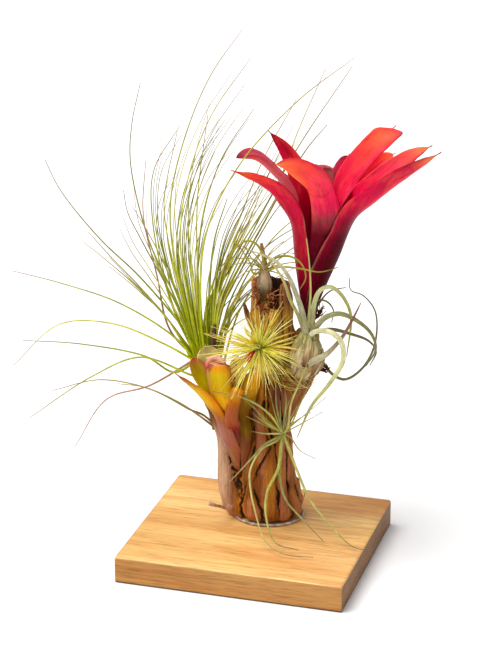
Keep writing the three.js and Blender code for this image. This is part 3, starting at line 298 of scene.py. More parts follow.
BULB_SCALES = [  # turn round the bulb in degrees, where a scale starts and ends along it, and its lift in mm
    (-160, 0.0, 0.8, 0.2), (-35, 0.02, 0.7, 0.2), (-100, 0.0, 0.58, 0.5), (-130, 0.2, 0.85, 0.9),
    (-62, 0.25, 0.9, 1.1), (-10, 0.3, 0.95, 0.6), (40, 0.1, 0.9, 0.5), (100, 0.0, 0.9, 0.3),
    (-92, 0.45, 1.0, 1.2), (-80, 0.0, 0.35, 0.9), (-120, 0.02, 0.42, 1.0), (-48, 0.04, 0.5, 0.9),
    (-25, 0.2, 0.7, 1.3), (-145, 0.15, 0.6, 1.3),
]
SCALE_TINTS = [
    [(0, "4A3228"), (0.2, "96745C"), (0.6, "BCA884"), (1, "ACA47C")],
    [(0, "5A4034"), (0.3, "B09A7C"), (0.6, "D0C4A0"), (1, "A8A078")],
]

ROOT_TUFTS = [
    dict(name="root_tuft_upper", start=[37.5, 19, 157], end=[41, 14, 166], strands=15, reach=7, seed=3),
    dict(name="root_tuft_lower", start=[39.5, 16, 124], end=[45, 8, 127], strands=15, reach=6, seed=8),
]


# ---- numbers and routes -------------------------------------------------------------------------
def linear(hex_colour):
    """Linear red, green, blue and alpha of an sRGB hex colour."""
    parts = [int(hex_colour[i:i + 2], 16) / 255 for i in (0, 2, 4)]
    return [c / 12.92 if c <= 0.04045 else ((c + 0.055) / 1.055) ** 2.4 for c in parts] + [1.0]


def place(points):
    """Points of the plants, in millimetres, as metres in the part's frame."""
    x, y, z = np.moveaxis(np.asarray(points, float), -1, 0)
    return np.stack([PLANT_COS * x - PLANT_SIN * y, PLANT_SIN * x + PLANT_COS * y, z], -1) * MM


def placed_back(points):
    """Points in the part's frame, in metres, as millimetres of the plants."""
    x, y, z = np.moveaxis(points, -1, 0)
    return np.stack([PLANT_COS * x + PLANT_SIN * y, PLANT_COS * y - PLANT_SIN * x, z], -1) / MM


def mix(low, high, share):
    return low + (high - low) * share


def smooth(share):
    s = np.clip(share, 0, 1)
    return s * s * (3 - 2 * s)


def unit(vectors):
    return vectors / np.maximum(np.linalg.norm(vectors, axis=-1, keepdims=True), 1e-9)


def turned(vector, axis, angle):
    """A vector turned about a unit axis."""
    return (vector * math.cos(angle) + np.cross(axis, vector) * math.sin(angle)
            + axis * np.dot(axis, vector) * (1 - math.cos(angle)))


def waves(values, length, seed):
    """Smooth noise between about -1 and 1, with waves of about this length."""
    rng = np.random.default_rng(seed)
    total = 0
    for octave in (1, 1.83, 3.1):
        total = total + np.sin(values * octave * 2 * math.pi / length + rng.uniform(0, 6.28)) / octave
    return total / 1.6


def lumps(points, size, shift=0):
    """Noise at points, with lumps of this size along each axis; shift moves to another part of it."""
    a, b, c = size
    return np.array([noise.noise(Vector((x / a + shift, y / b, z / c))) for x, y, z in points])


def spread(values, share):
    """Values spaced evenly along a length, read at shares of it."""
    return np.interp(share, np.linspace(0, 1, len(values)), values)


def read_stops(stops, share):
    """Colours read from (share, hex) stops."""
    shares = [at for at, _ in stops]
    colours = np.array([linear(colour) for _, colour in stops])
    return np.stack([np.interp(share, shares, colours[:, k]) for k in range(4)], -1)


def dense_route(path, steps=ROUTE_STEPS):
    """A centripetal Catmull-Rom line through the points of a path, with this many steps to a span."""
    p = np.array(path, float)
    p = np.vstack([2 * p[0] - p[1], p, 2 * p[-1] - p[-2]])
    t = np.linspace(0, 1, steps, endpoint=False)[:, None]
    parts = []
    for p0, p1, p2, p3 in zip(p, p[1:], p[2:], p[3:]):
        d0, d1, d2 = (max(np.linalg.norm(b - a), 1e-6) ** 0.5 for a, b in ((p0, p1), (p1, p2), (p2, p3)))
        m1 = ((p1 - p0) / d0 - (p2 - p0) / (d0 + d1) + (p2 - p1) / d1) * d1
        m2 = ((p2 - p1) / d1 - (p3 - p1) / (d1 + d2) + (p3 - p2) / d2) * d1
        parts.append((2 * t**3 - 3 * t**2 + 1) * p1 + (t**3 - 2 * t**2 + t) * m1
                     + (-2 * t**3 + 3 * t**2) * p2 + (t**3 - t**2) * m2)
    return np.vstack(parts + [p[-2][None]])


def arc_lengths(line):
    return np.concatenate([[0], np.cumsum(np.linalg.norm(np.diff(line, axis=0), axis=1))])


def read_route(line, shares):
    """Points and headings at shares of a line's length."""
    lengths = arc_lengths(line)
    at = np.asarray(shares) * lengths[-1]
    nudge = lengths[-1] * 0.004

    def read(where):
        return np.stack([np.interp(where, lengths, line[:, k]) for k in range(3)], -1)

    ahead = unit(read(np.minimum(at + nudge, lengths[-1])) - read(np.maximum(at - nudge, 0)))
    return read(at), ahead


def carried_frame(ahead):
    """Two directions across a route, carried along it without twisting."""
    start = np.cross(ahead[0], [0, 0, 1] if abs(ahead[0][2]) < 0.9 else [1, 0, 0])
    sides = [start / np.linalg.norm(start)]
    for heading in ahead[1:]:
        side = sides[-1] - heading * np.dot(sides[-1], heading)
        sides.append(side / np.linalg.norm(side))
    sides = np.array(sides)
    return sides, np.cross(ahead, sides)


def round_rings(centre, ahead, radius, sides, squash=1.0):
    """Rings of points round a route; radius has a row for each point of it."""
    side, up = carried_frame(ahead)
    turn = np.arange(sides) * 2 * math.pi / sides
    return centre[:, None] + radius[..., None] * (side[:, None] * np.cos(turn)[None, :, None]
                                                  + squash * up[:, None] * np.sin(turn)[None, :, None])


# ---- gathering a surface ------------------------------------------------------------------------
class Skin:
    """The surface of one piece: closed runs of rings, with a tint at each point and a skin laid out in mm."""

    def __init__(self):
        self.points, self.tints, self.faces, self.corners = [], [], [], []
        self.count = 0

    def add_rings(self, rings, tints, across, along):
        """rings and tints are (rows, sides, n); across is (rows, sides + 1) and along is (rows,), in mm."""
        rows, sides = rings.shape[:2]
        r, i = (a.ravel() for a in np.meshgrid(np.arange(rows - 1), np.arange(sides), indexing="ij"))
        steps = ((0, 0), (0, 1), (1, 1), (1, 0))  # round a face, in rows and sides
        quads = np.stack([(r + row) * sides + (i + side) % sides for row, side in steps], -1)
        corners = np.stack([np.stack([across[r + row, i + side], along[r + row]], -1)
                            for row, side in steps], 1)
        caps = [np.arange(sides)[::-1], np.arange(sides) + (rows - 1) * sides]
        cap_corners = [np.stack([across[0, :sides][::-1], np.full(sides, along[0])], -1),
                       np.stack([across[-1, :sides], np.full(sides, along[-1])], -1)]
        if self.volume(rings) < 0:
            quads, corners = quads[:, ::-1], corners[:, ::-1]
            caps, cap_corners = [c[::-1] for c in caps], [c[::-1] for c in cap_corners]
        self.faces += (quads + self.count).tolist() + [(c + self.count).tolist() for c in caps]
        self.corners += [corners.reshape(-1, 2)] + cap_corners
        self.points.append(rings.reshape(-1, 3))
        self.tints.append(tints.reshape(-1, 4))
        self.count += rows * sides

    @staticmethod
    def volume(rings):
        """Above 0 when the faces of these rings point outwards."""
        middle = rings.mean((0, 1))
        a, b = rings[:-1] - middle, np.roll(rings[:-1], -1, 1) - middle
        c, d = np.roll(rings[1:], -1, 1) - middle, rings[1:] - middle
        return np.sum(a * np.cross(b, c)) + np.sum(a * np.cross(c, d))

    def tube(self, path, radii, stops, sides, step, squash=1.0):
        """A round stem along a path, with rows a step apart, coloured by (share, hex) stops along it."""
        line = dense_route(path)
        length = arc_lengths(line)[-1]
        rows = max(3, int(length / step) + 2)
        share = np.linspace(0, 1, rows)
        centre, ahead = read_route(line, share)
        radius = spread(radii, share)
        rings = round_rings(centre, ahead, radius[:, None], sides, squash)
        across = np.linspace(0, 1, sides + 1)[None] * radius.mean() * 2 * math.pi * np.ones((rows, 1))
        self.add_rings(rings, np.repeat(read_stops(stops, share)[:, None], sides, 1), across, share * length)
        return rings

    def mesh(self, name):
        """The surface as a mesh in the part's frame, kept inside the solids' own box."""
        mesh = bpy.data.meshes.new(name)
        mesh.from_pydata(np.clip(place(np.concatenate(self.points)), *bounds_before), [], self.faces)
        paint(mesh, np.concatenate(self.tints))
        corners = np.concatenate(self.corners).astype(np.float32)
        mesh.uv_layers.new(name="skin").data.foreach_set("uv", corners.ravel())
        mesh.shade_smooth()
        return mesh

    def shown(self, name, material, node, slot):
        shown(self.mesh(name), name, material, node, slot)


def paint(mesh, tints):
    """Stores the colour of each point, which the materials read as tint."""
    layer = mesh.attributes.new("tint", "FLOAT_COLOR", "POINT")
    layer.data.foreach_set("color", tints.astype(np.float32).ravel())


def read_vertices(mesh, what):
    """The co or the normal of each vertex, as rows of three."""
    values = np.empty(len(mesh.vertices) * 3)
    mesh.vertices.foreach_get(what, values)
    return values.reshape(-1, 3)


def linked(name, data):
    """A new object, in the scene."""
    thing = bpy.data.objects.new(name, data)
    bpy.context.scene.collection.objects.link(thing)
    return thing


def finished(carrier, *spares):
    """The mesh that an object's modifiers make; the object and its spares are removed."""
    mesh = bpy.data.meshes.new_from_object(carrier.evaluated_get(bpy.context.evaluated_depsgraph_get()))
    for thing in (carrier, *spares):
        bpy.data.objects.remove(thing)
    return mesh


def shown(mesh, name, material, node, slot):
    """A mesh as a piece of the object that stands for a CAD node."""
    piece = linked(name, mesh)
    mesh.materials.clear()
    mesh.materials.append(material)
    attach(piece, "root")
    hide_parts(node)


# ---- materials ----------------------------------------------------------------------------------
TINT = ("Attribute", dict(attribute_name="tint"), "Color")
TONE = ("Attribute", dict(attribute_name="tone"), "Fac")
SKIN = ("UVMap", dict(uv_map="skin"), "UV")
SPOT = ("TexCoord", {}, "Object")


class Shader:
    """A material being built out of nodes, and the layers that its patterns lay over a colour."""

    def __init__(self, name):
        self.material = bpy.data.materials.new(name)
        self.material.use_nodes = True
        self.tree = self.material.node_tree
        self.surface = self.tree.nodes["Principled BSDF"]

    def add(self, kind, settings=None, stops=(), **inputs):
        """Adds a node with its settings and links; stops are a ramp's, and each is a grey or a hex colour."""
        node = self.tree.nodes.new("ShaderNode" + kind)
        for key, value in (settings or {}).items():
            setattr(node, key, value)
        for index, (at, colour) in enumerate(stops):
            elements = node.color_ramp.elements
            element = elements[index] if index < len(elements) else elements.new(1)
            element.position = at
            element.color = linear(colour) if isinstance(colour, str) else (colour, colour, colour, 1)
        self.put(node, **inputs)
        return node

    def put(self, node, **inputs):
        """Sets or links inputs, by name or _ and a number, from a value, a node, or (node, output name)."""
        for key, value in inputs.items():
            name = key.replace("_", " ")
            named = [socket for socket in node.inputs if socket.enabled and socket.name == name]
            socket = node.inputs[int(key[1:])] if key[0] == "_" else named[0]
            source, output = value if isinstance(value, tuple) and len(value) == 2 else (value, None)
            if isinstance(source, bpy.types.Node):
                ways = [way for way in source.outputs if way.enabled and output in (None, way.name)]
                self.tree.links.new(ways[0], socket)
            else:
                socket.default_value = value

    def read(self, source):
        """What a piece carries: its tint, its tone, its skin laid out in mm, or the spot on it in metres."""
        kind, settings, output = source
        return self.add(kind, settings), output

    def grain(self, where, size, **inputs):
        """Noise over the skin or the spot, with lumps of this size in mm along each axis."""
        unit_size = 1 if where[1] == SKIN[2] else MM
        cells = [1 / (length * unit_size) for length in size]
        mapped = self.add("Mapping", Vector=where, Scale=cells + [1] * (3 - len(cells)))
        return self.add("TexNoise", Vector=mapped, Scale=1.0, **inputs)

    def shade(self, colour, pattern, stops, amount=1.0, way="MULTIPLY"):
        """Lays the tones of a pattern over a colour."""
        tones = self.add("ValToRGB", stops=stops, Fac=pattern)
        return self.add("Mix", dict(data_type="RGBA", blend_type=way), Factor=amount, A=colour, B=tones)

    def wash(self, colour, wash, pattern, stops):
        """Washes a hex colour over another, by shares read from a pattern."""
        share = self.add("ValToRGB", stops=stops, Fac=pattern)
        return self.add("Mix", dict(data_type="RGBA"), Factor=share, A=colour, B=linear(wash))


def leaf_material(name, roughness, hue, saturation, value, mottle, patch, patch_amount):
    """Strap leaf: a smooth waxy skin with fine veins along it, faint streaks, specks and sunlit patches."""
    s = Shader(name)
    tint, skin = s.read(TINT), s.read(SKIN)
    streaks = s.grain(skin, (0.9091, 28.57), Detail=4.0, Roughness=0.62)
    veins = s.grain(skin, (0.2778, 20), Detail=2.0)
    clouds = s.grain(skin, (6.25, 20), Detail=3.0, Roughness=0.6)
    specks = s.grain(skin, (0.2222, 0.3846), Detail=1.0)
    shades = s.grain(skin, (4.545, 14.29), Detail=5.0, Roughness=0.7, Distortion=0.6)
    colour = s.shade(tint, streaks, [(0.3, 0.78), (0.5, 1.0), (0.72, 1.16)], 0.8)
    colour = s.shade(colour, veins, [(0.35, 0.78), (0.6, 1.08)], 0.55)
    colour = s.shade(colour, shades, [(0.36, 0.7), (0.5, 1.0), (0.66, 1.14)], mottle)
    patches = s.add("ValToRGB", stops=[(0.48, 0.0), (0.68, patch_amount)], Fac=clouds)
    lit = s.add("ValToRGB", stops=[(0.05, 0.0), (0.15, 1.0)], Fac=tint)
    lit_patches = s.add("Math", dict(operation="MULTIPLY"), _0=patches, _1=lit)
    colour = s.add("Mix", dict(data_type="RGBA"), Factor=lit_patches, A=colour, B=linear(patch))
    colour = s.wash(colour, "F2D8C0", specks, [(0.68, 0.0), (0.78, 0.22)])
    colour = s.add("HueSaturation", Color=colour, Hue=hue, Saturation=saturation, Value=value)
    dull = s.add("ValToRGB", stops=[(0.3, roughness), (0.7, roughness + 0.12)], Fac=clouds)
    gloss = s.add("ValToRGB", stops=[(0.03, 0.02), (0.15, 0.14)], Fac=tint)
    normal = s.add("Bump", Height=clouds, Distance=0.9 * MM, Strength=0.35)
    normal = s.add("Bump", Height=veins, Distance=0.12 * MM, Strength=0.5, Normal=normal)
    s.put(s.surface, Base_Color=colour, Roughness=dull, Normal=normal, IOR=1.45, Specular_IOR_Level=gloss)
    s.put(s.surface, Subsurface_Weight=0.14, Subsurface_Radius=(1.0, 0.4, 0.25), Subsurface_Scale=1.2 * MM)
    return s.material


def plant_material(name, roughness, grain=(0.3333, 4), contrast=(0.7, 1.2), fuzz=0.0, bump=0.12,
                   saturation=1.22, value=0.92, tones=None):
    """Narrow leaf or stem: its own tint, with fine grain along it and, if felted, a soft pale bloom."""
    s = Shader(name)
    tint, spot = s.read(TINT), s.read(SPOT)
    if tones:
        tone = s.read(TONE)
        tint = s.wash(tint, tones[0], tone, [(0.06, 0.45), (0.2, 0.0)])
        tint = s.wash(tint, tones[1], tone, [(0.78, 0.0), (0.92, 0.7)])
    fibres = s.grain(s.read(SKIN), grain, Detail=4.0, Roughness=0.6)
    clouds = s.grain(spot, (6.667, 6.667, 6.667), Detail=2.0)
    felt = s.grain(spot, (0.3846, 0.3846, 0.3846), Detail=2.0)
    colour = s.shade(tint, fibres, [(0.3, contrast[0]), (0.7, contrast[1])])
    colour = s.shade(colour, clouds, [(0.35, 0.75), (0.65, 1.15)], 0.7)
    colour = s.add("HueSaturation", Color=colour, Saturation=saturation, Value=value)
    normal = s.add("Bump", Height=felt, Distance=0.12 * MM, Strength=0.15 + fuzz * 0.6)
    normal = s.add("Bump", Height=fibres, Distance=bump * MM, Strength=0.5, Normal=normal)
    s.put(s.surface, Base_Color=colour, Roughness=roughness, Normal=normal, Specular_IOR_Level=0.3)
    s.put(s.surface, Sheen_Weight=fuzz, Sheen_Roughness=0.5)
    s.put(s.surface, Subsurface_Weight=0.08, Subsurface_Radius=(1.0, 0.8, 0.4), Subsurface_Scale=0.8 * MM)
    return s.material


def bark_material():
    """Weathered heartwood: fibrous, matt, brown ochre; its tint carries painted shade that darkens the
    crevices near black.
    """
    s = Shader("weathered_wood")
    tint, spot = s.read(TINT), s.read(SPOT)
    fibres = s.grain(spot, (1.613, 1.613, 45.45), Detail=6.0, Roughness=0.68, Distortion=0.35)
    bands = s.grain(spot, (7.692, 7.692, 111.1), Detail=4.0, Roughness=0.6, Distortion=0.8)
    pores = s.grain(spot, (0.5882, 0.5882, 4.167), Detail=2.0)
    colour = s.shade(tint, fibres, [(0.28, 0.42), (0.5, 0.95), (0.75, 1.35)], 0.75)
    colour = s.shade(colour, bands, [(0.3, "7A4A28"), (0.5, "B98A5C"), (0.7, "E8C08C")], 0.45, "SOFT_LIGHT")
    colour = s.shade(colour, pores, [(0.3, 0.55), (0.45, 1.0)], 0.6)
    colour = s.add("HueSaturation", Color=colour, Saturation=1.08, Value=0.88)
    normal = s.add("Bump", Height=bands, Distance=1.4 * MM, Strength=0.5)
    normal = s.add("Bump", Height=fibres, Distance=0.6 * MM, Strength=0.6, Normal=normal)
    normal = s.add("Bump", Height=pores, Distance=0.15 * MM, Strength=0.4, Normal=normal)
    dull = s.add("ValToRGB", stops=[(0.3, 0.78), (0.7, 0.52)], Fac=fibres)
    s.put(s.surface, Base_Color=colour, Normal=normal, Roughness=dull, Specular_IOR_Level=0.22)
    return s.material


def board_material():
    """Oiled pine: warm straw yellow, soft brown growth bands along the board, satin; darker end grain, painted
    shade on the sides and a painted contact shadow along the bottom edge.
    """
    s = Shader("oiled_pine")
    spot, facing = s.read(SPOT), s.add("SeparateXYZ", Vector=(s.add("NewGeometry"), "Normal"))
    flushes = s.grain(spot, (200, 62.5, 62.5), Detail=2.0)
    bands = s.grain(spot, (384.6, 22.73, 22.73), Detail=2.0, Roughness=0.5, Distortion=0.5)
    lines = s.grain(spot, (76.92, 1.316, 1.316), Detail=5.0, Roughness=0.72)
    pores = s.grain(spot, (14.29, 0.7692, 0.7692), Detail=2.0)
    figure = s.grain(spot, (111.1, 9.091, 9.091), Detail=4.0, Roughness=0.6, Distortion=0.8)
    end_grain = s.grain(spot, (3.846, 16.67, 2), Detail=4.0, Roughness=0.7)
    colour = s.add("ValToRGB", stops=[(0.28, "D29A54"), (0.42, "E8B26A"), (0.52, "F4C076"), (0.75, "FCD08A")],
                   Fac=bands)
    colour = s.shade(colour, lines, [(0.36, 0.78), (0.5, 1.0), (0.64, 1.05)], 0.8)
    colour = s.wash(colour, "D08A44", figure, [(0.46, 0.0), (0.64, 0.55)])
    colour = s.shade(colour, pores, [(0.36, 0.55), (0.48, 1.0)], 0.62)
    colour = s.wash(colour, "C87848", flushes, [(0.54, 0.0), (0.72, 0.45)])
    end_share, up_share = (s.add("Math", dict(operation="ABSOLUTE"), _0=(facing, axis)) for axis in "XZ")
    end_share = s.add("ValToRGB", stops=[(0.8, 0.0), (0.96, 1.0)], Fac=end_share)
    colour = s.shade(colour, end_grain, [(0.3, "845828"), (0.6, "BA8C48"), (0.8, "DCB060")], end_share, "MIX")
    # painted shade: the faces that do not look up are multiplied darker by BCA07C
    painted_side_shade = s.add("ValToRGB", stops=[(0.2, 0.85), (0.6, 0.0)], Fac=up_share)
    darker = dict(data_type="RGBA", blend_type="MULTIPLY")
    colour = s.add("Mix", darker, Factor=painted_side_shade, A=colour, B=linear("BCA07C"))
    # painted contact shadow: the colour is multiplied to near black at the board's foot, back to full by 1.6
    # mm up
    height = (s.add("SeparateXYZ", Vector=spot), "Z")
    centimetres = s.add("Math", dict(operation="MULTIPLY"), _0=height, _1=100.0)
    colour = s.shade(colour, centimetres, [(0.05, 0.06), (0.16, 1.0)])
    satin = s.add("ValToRGB", stops=[(0.3, 0.55), (0.7, 0.42)], Fac=lines)
    normal = s.add("Bump", Height=pores, Distance=0.06 * MM, Strength=0.3)
    normal = s.add("Bump", Height=lines, Distance=0.12 * MM, Strength=0.4, Normal=normal)
    s.put(s.surface, Base_Color=colour, Roughness=satin, Normal=normal, Specular_IOR_Level=0.25)
    return s.material


def glue_material():
    """Dried clear glue: a milky translucent bead with a soft gloss."""
    s = Shader("dried_glue")
    clouds = s.grain(s.read(SPOT), (4.167, 4.167, 4.167), Detail=3.0)
    milk = s.add("ValToRGB", stops=[(0.35, "8A7460"), (0.55, "B8A898"), (0.7, "D8D0C4")], Fac=clouds)
    normal = s.add("Bump", Height=clouds, Distance=0.5 * MM, Strength=0.5)
    s.put(s.surface, Base_Color=milk, Normal=normal, Roughness=0.3)
    s.put(s.surface, Subsurface_Weight=0.4, Subsurface_Radius=(1.0, 0.9, 0.8), Subsurface_Scale=2 * MM)
    return s.material


# ---- strap leaves -------------------------------------------------------------------------------
SHEATH_ROWS, BLADE_ROWS, LEAF_COLUMNS = 18, 54, 18
HALF_THICK, BLADE_THINNED = 0.375, 0.85  # in mm at the root, and the share of it left at the tip
LEAST_HALF, SPUR_HALF = 0.28, 1.1
OPENED_BY = 0.35  # the share of the blade over which it unrolls from the cup
EDGE_WAVE = dict(height=0.35, length=16)
UNDERSIDE = 31  # how far along the skin's pattern the underside lies from the top, in mm


def axis_point(rosette, z):
    axis = np.array(rosette["axis"], float)
    x, y = (np.interp(z, axis[:, 2], axis[:, k]) for k in range(2))
    return np.array([x, y, np.clip(z, axis[0, 2], axis[-1, 2])])


def sheath_radius(rosette, layer, z):
    flare = np.array(rosette["flare"], float)
    rise = (z - rosette["roots"][0]) / (rosette["axis"][-1][2] - rosette["roots"][0])
    return np.interp(z, flare[:, 0], flare[:, 1]) - layer * mix(*rosette["pitch"], rise)


def leaf_spine(rosette, leaf, out, low, high):
    """The line that a leaf's middle follows, and the share of it inside the cup."""
    spans = 3
    wall = [axis_point(rosette, z) + out * sheath_radius(rosette, leaf["layer"], z)
            for z in (mix(low, high, step / spans) for step in range(spans + 1))]
    line = dense_route(wall + leaf["path"])
    lengths = arc_lengths(line)
    return line, lengths[spans * ROUTE_STEPS] / lengths[-1]


def blade_half(leaf, share):
    """Half width of the blade past the cup: a rounded or pointed end drawn out into a narrow spur."""
    end = leaf.get("spur", 0.96)
    taper = np.clip((share / end - leaf["full"]) / (1 - leaf["full"]), 0, 1)
    rounded = leaf["half"] * (1 - taper**2) ** leaf["tip"]
    spur = SPUR_HALF * np.clip((1 - share) / (1 - end * 0.9), 0, 1) * (end < 1)
    return max(rounded, spur, LEAST_HALF)


def strap_leaf(rosette, leaf, look, seed):
    """A strap leaf as a thin lens in section, wrapped round the cup and opening out along its blade."""
    turn = math.radians(leaf["angle"])
    out = np.array([math.cos(turn), math.sin(turn), 0])
    side = np.array([-math.sin(turn), math.cos(turn), 0])
    low, high = rosette["roots"][leaf["layer"]], leaf.get("mouth", rosette["mouth"])
    line, mouth_share = leaf_spine(rosette, leaf, out, low, high)
    length, first_roll = arc_lengths(line)[-1], leaf.get("roll", 0)
    mouth_half = math.radians(leaf["sheath"][2]) * sheath_radius(rosette, leaf["layer"], high)
    c = np.linspace(-1, 1, LEAF_COLUMNS + 1)
    lens = np.sqrt(np.clip(1 - c**6, 0, 1))
    rings, half_widths, along = [], [], []
    for row in range(SHEATH_ROWS + BLADE_ROWS + 1):
        on_blade = max(0, row - SHEATH_ROWS) / BLADE_ROWS
        on_sheath = min(1, row / SHEATH_ROWS)
        share = mix(on_sheath * mouth_share, 1, on_blade)
        (centre,), (ahead,) = read_route(line, [share])
        side = side - ahead * np.dot(side, ahead)
        side /= np.linalg.norm(side)
        radius = sheath_radius(rosette, leaf["layer"], mix(low, high, on_sheath))
        opened = float(smooth(on_blade / OPENED_BY))
        half = math.radians(spread(leaf["sheath"], on_sheath)) * radius
        if on_blade:
            half = mix(mouth_half, blade_half(leaf, on_blade), opened)
        bend = mix(1 / radius, 1 / leaf["fold"], opened)
        inward = ahead * np.dot(out, ahead) * opened - out
        inward = inward - side * np.dot(inward, side)
        inward /= np.linalg.norm(inward)
        roll = math.radians(mix(first_roll, leaf.get("roll_end", first_roll), on_blade)) * opened
        across, inward = turned(side, ahead, roll), turned(inward, ahead, roll)
        at = share * length
        swing = c * half * bend
        wave = EDGE_WAVE["height"] * waves(at + 40 * (c > 0), EDGE_WAVE["length"], seed)
        lift = on_blade * np.abs(c) ** 3 * wave
        slant = leaf.get("slant", 0) * on_blade**2 * min(1, half / leaf["half"]) * c
        middle = (centre + across * (np.sin(swing) / bend)[:, None] + ahead * slant[:, None]
                  + inward * ((1 - np.cos(swing)) / bend + lift)[:, None])
        face = inward * np.cos(swing)[:, None] - across * np.sin(swing)[:, None]
        thick = (HALF_THICK * mix(1, BLADE_THINNED, on_blade) * lens)[:, None]
        rings.append(np.vstack([middle + face * thick, (middle - face * thick)[-2:0:-1]]))
        half_widths.append(half)
        along.append(at)
    s = np.concatenate([np.linspace(0, 1, SHEATH_ROWS + 1), 1 + np.arange(1, BLADE_ROWS + 1) / BLADE_ROWS])
    around = np.concatenate([c, c[-2:0:-1], c[:1]])
    shift = np.concatenate([np.zeros(len(c)), np.full(len(c) - 2, UNDERSIDE), [0]])
    across_mm = np.array(half_widths)[:, None] * around[None] + shift[None]
    across_mm[:, -1] = across_mm[:, -2]
    return np.array(rings), leaf_tints(look, s, c, seed), across_mm, np.array(along)


def leaf_tints(look, s, c, seed):
    """Colours of a leaf: stops along each face, margins of their own, a thin rim, painted shade along creases
    and slow drift.
    """
    faces = []
    for face, line in (("top", c), ("under", c[-2:0:-1])):
        colours = np.repeat(read_stops(look.get(face, look["top"]), s)[:, None], len(line), 1)
        drift = waves(s[:, None] * 20 + line[None] * 3, 19, seed)[..., None]
        edge = np.abs(line)[None]
        for margin, where in (("left", line < 0), ("right", line > 0)):
            if margin in look:
                weight = (np.clip(np.abs(line) * 1.12, 0, 1) ** look.get("reach", 2.2) * where)[None, :, None]
                weight = np.clip(weight * (1 + 0.35 * drift), 0, 1)
                colours = colours * (1 - weight) + read_stops(look[margin], s)[:, None] * weight
        if "rim" in look:
            weight = smooth((edge - 0.945) / 0.04) * smooth((1.25 - s)[:, None] / 0.2)
            weight = np.clip(weight * (0.5 + 0.4 * drift[..., 0]), 0, 1)
            colours = mix(colours, np.array(linear(look["rim"])), weight[..., None])
        # painted shade: a thin dark line across the leaf at each crease
        for crease in look.get("creases", ()):
            away = (s[:, None] - crease - 0.07 * line[None] ** 2) / 0.009
            colours[..., :3] *= (1 - 0.3 * np.exp(-away**2))[..., None]
        colours[..., :3] *= 1 + 0.07 * drift
        faces.append(colours)
    return np.concatenate(faces, 1)


